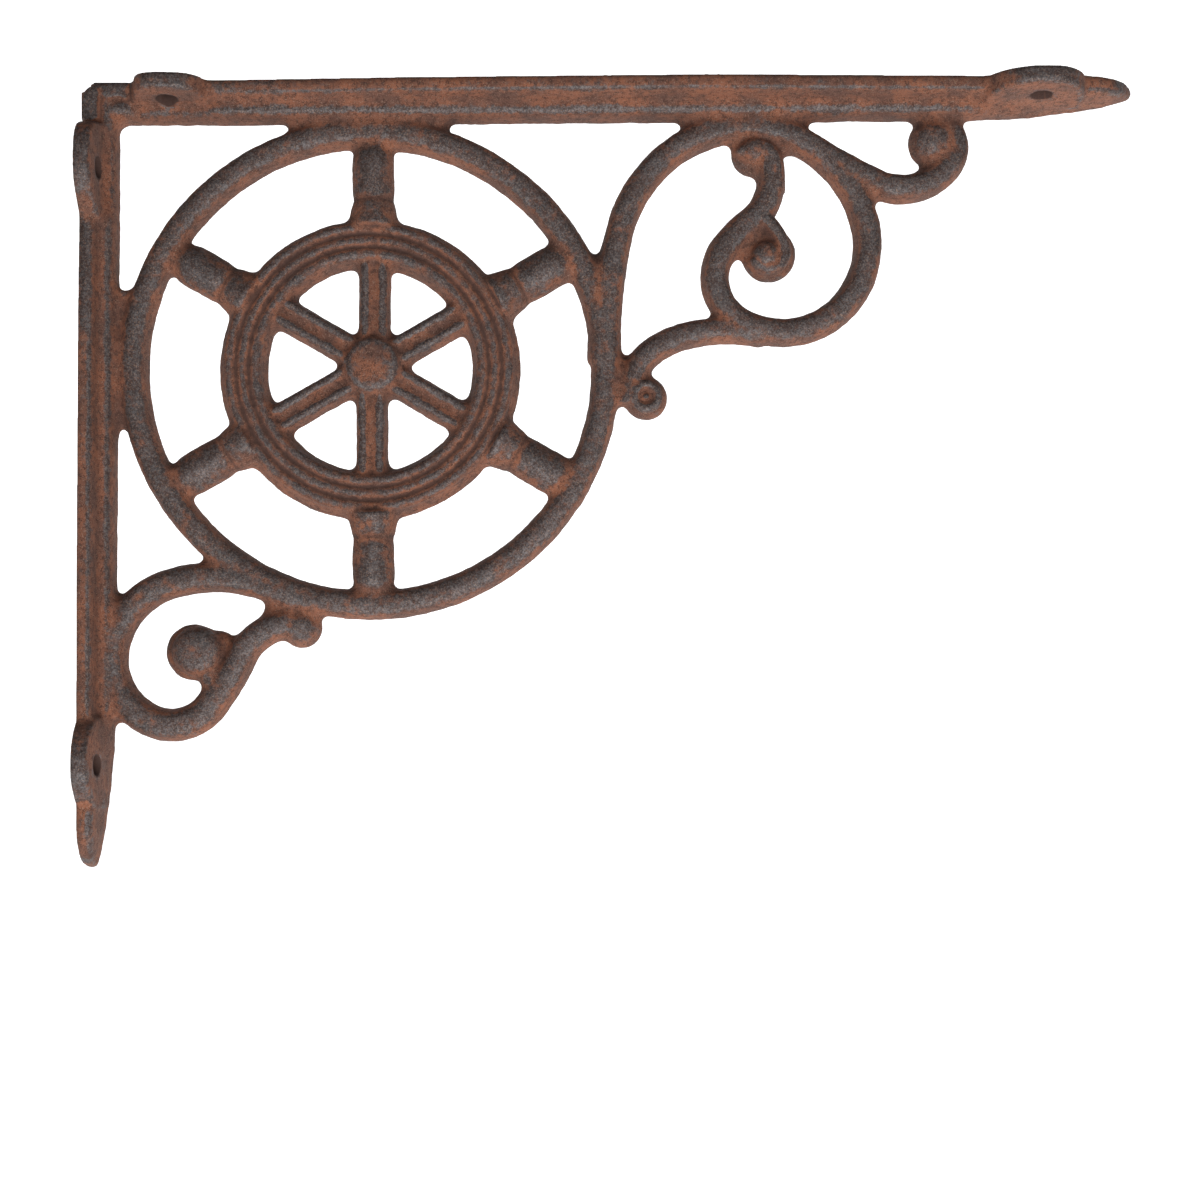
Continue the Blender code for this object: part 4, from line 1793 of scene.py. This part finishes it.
@dataclass
class Studio:
    """A pale sweep, soft light and the camera straight before the bracket."""

    middle: tuple[float, float, float] = (0.15, -1.0, -0.75)
    half: Span = (6.0, 3.0)
    bend: float = 0.9
    bend_y: float = 2.0
    wall_height: float = 4.0
    paper: Colour = (0.92, 0.92, 0.92, 1.0)
    paper_rough: float = 0.9
    paper_glow: float = 0.85
    white: Colour = (1.0, 1.0, 1.0, 1.0)
    air: float = 0.11
    lights: tuple[Softbox, ...] = (
        Softbox("low_key", (0.22, -0.80, -0.52), 0.6, 8.6),
        Softbox("high_fill", (0.5, -1.2, 0.4), 0.9, 2.5),
    )
    aim: tuple[float, float, float] = (0.13, 0.0, 0.0)
    eye: tuple[float, float, float] = (0.1293, -0.609, -0.0642)
    lens: float = 66.0
    sensor: float = 36.0
    shift: Span = (0.0417, 0.0833)
    nearest: float = 0.01

    def sweep(self) -> bpy.types.Object:
        """Model the pale floor, curved up behind into a backdrop.

        Returns:
            The sweep.
        """
        bpy.ops.object.select_all(action="DESELECT")
        bpy.ops.mesh.primitive_plane_add(size=2.0, location=self.middle)
        sweep = bpy.context.object
        sweep.name = "pale_sweep"
        bpy.ops.object.transform_apply()
        bpy.ops.object.mode_set(mode="EDIT")
        bpy.ops.mesh.select_all(action="SELECT")
        bpy.ops.transform.resize(value=(*self.half, 1), center_override=self.middle)
        bpy.ops.mesh.select_all(action="DESELECT")
        sheet = bmesh.from_edit_mesh(sweep.data)
        for edge in sheet.edges:
            edge.select = all(vert.co.y > 0 for vert in edge.verts)
        bmesh.update_edit_mesh(sweep.data)
        pivot = (self.middle[0], self.bend_y, self.middle[2] + self.bend)
        bpy.ops.mesh.spin(steps=16, angle=-math.pi / 2, center=pivot, axis=(1, 0, 0))
        bpy.ops.mesh.extrude_region_move(TRANSFORM_OT_translate={"value": (0, 0, self.wall_height)})
        bpy.ops.mesh.select_all(action="SELECT")
        bpy.ops.mesh.normals_make_consistent(inside=False)
        bpy.ops.object.mode_set(mode="OBJECT")
        bpy.ops.object.shade_smooth()
        paper = bpy.data.materials.new("pale_paper")
        paper.use_nodes = True
        shader = paper.node_tree.nodes["Principled BSDF"]
        shader.inputs["Base Color"].default_value = self.paper
        shader.inputs["Roughness"].default_value = self.paper_rough
        shader.inputs["Emission Color"].default_value = self.white
        shader.inputs["Emission Strength"].default_value = self.paper_glow
        sweep.data.materials.append(paper)
        return sweep

    def camera(self) -> None:
        """Set the camera square to the bracket, at the photograph's distance."""
        bpy.ops.object.camera_add(location=self.eye, rotation=(math.pi / 2, 0, 0))
        camera = bpy.context.object
        camera.data.lens = self.lens
        camera.data.sensor_width = self.sensor
        camera.data.shift_x, camera.data.shift_y = self.shift
        camera.data.clip_start = self.nearest
        bpy.context.scene.camera = camera

    def build(self) -> None:
        """Put up the sweep, the light and the camera."""
        self.sweep()
        world = bpy.data.worlds.new("studio")
        world.use_nodes = True
        world.node_tree.nodes["Background"].inputs["Color"].default_value = self.white
        world.node_tree.nodes["Background"].inputs["Strength"].default_value = self.air
        bpy.context.scene.world = world
        for light in self.lights:
            light.hang(Vector(self.aim))
        self.camera()
        bpy.context.scene.view_settings.view_transform = "Standard"


def main() -> None:
    """Load the frame, model and dress the casting, and put up the studio."""
    logging.basicConfig(level=logging.INFO, format="%(name)s: %(message)s")
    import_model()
    casting = Casting().build()
    casting.name = SKIN
    RustedIron().dress(casting)
    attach(casting, "root")
    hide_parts(NODE)
    LOG.info("casting dressed")
    Studio().build()
    LOG.info("studio set up")


if __name__ == "__main__":
    main()
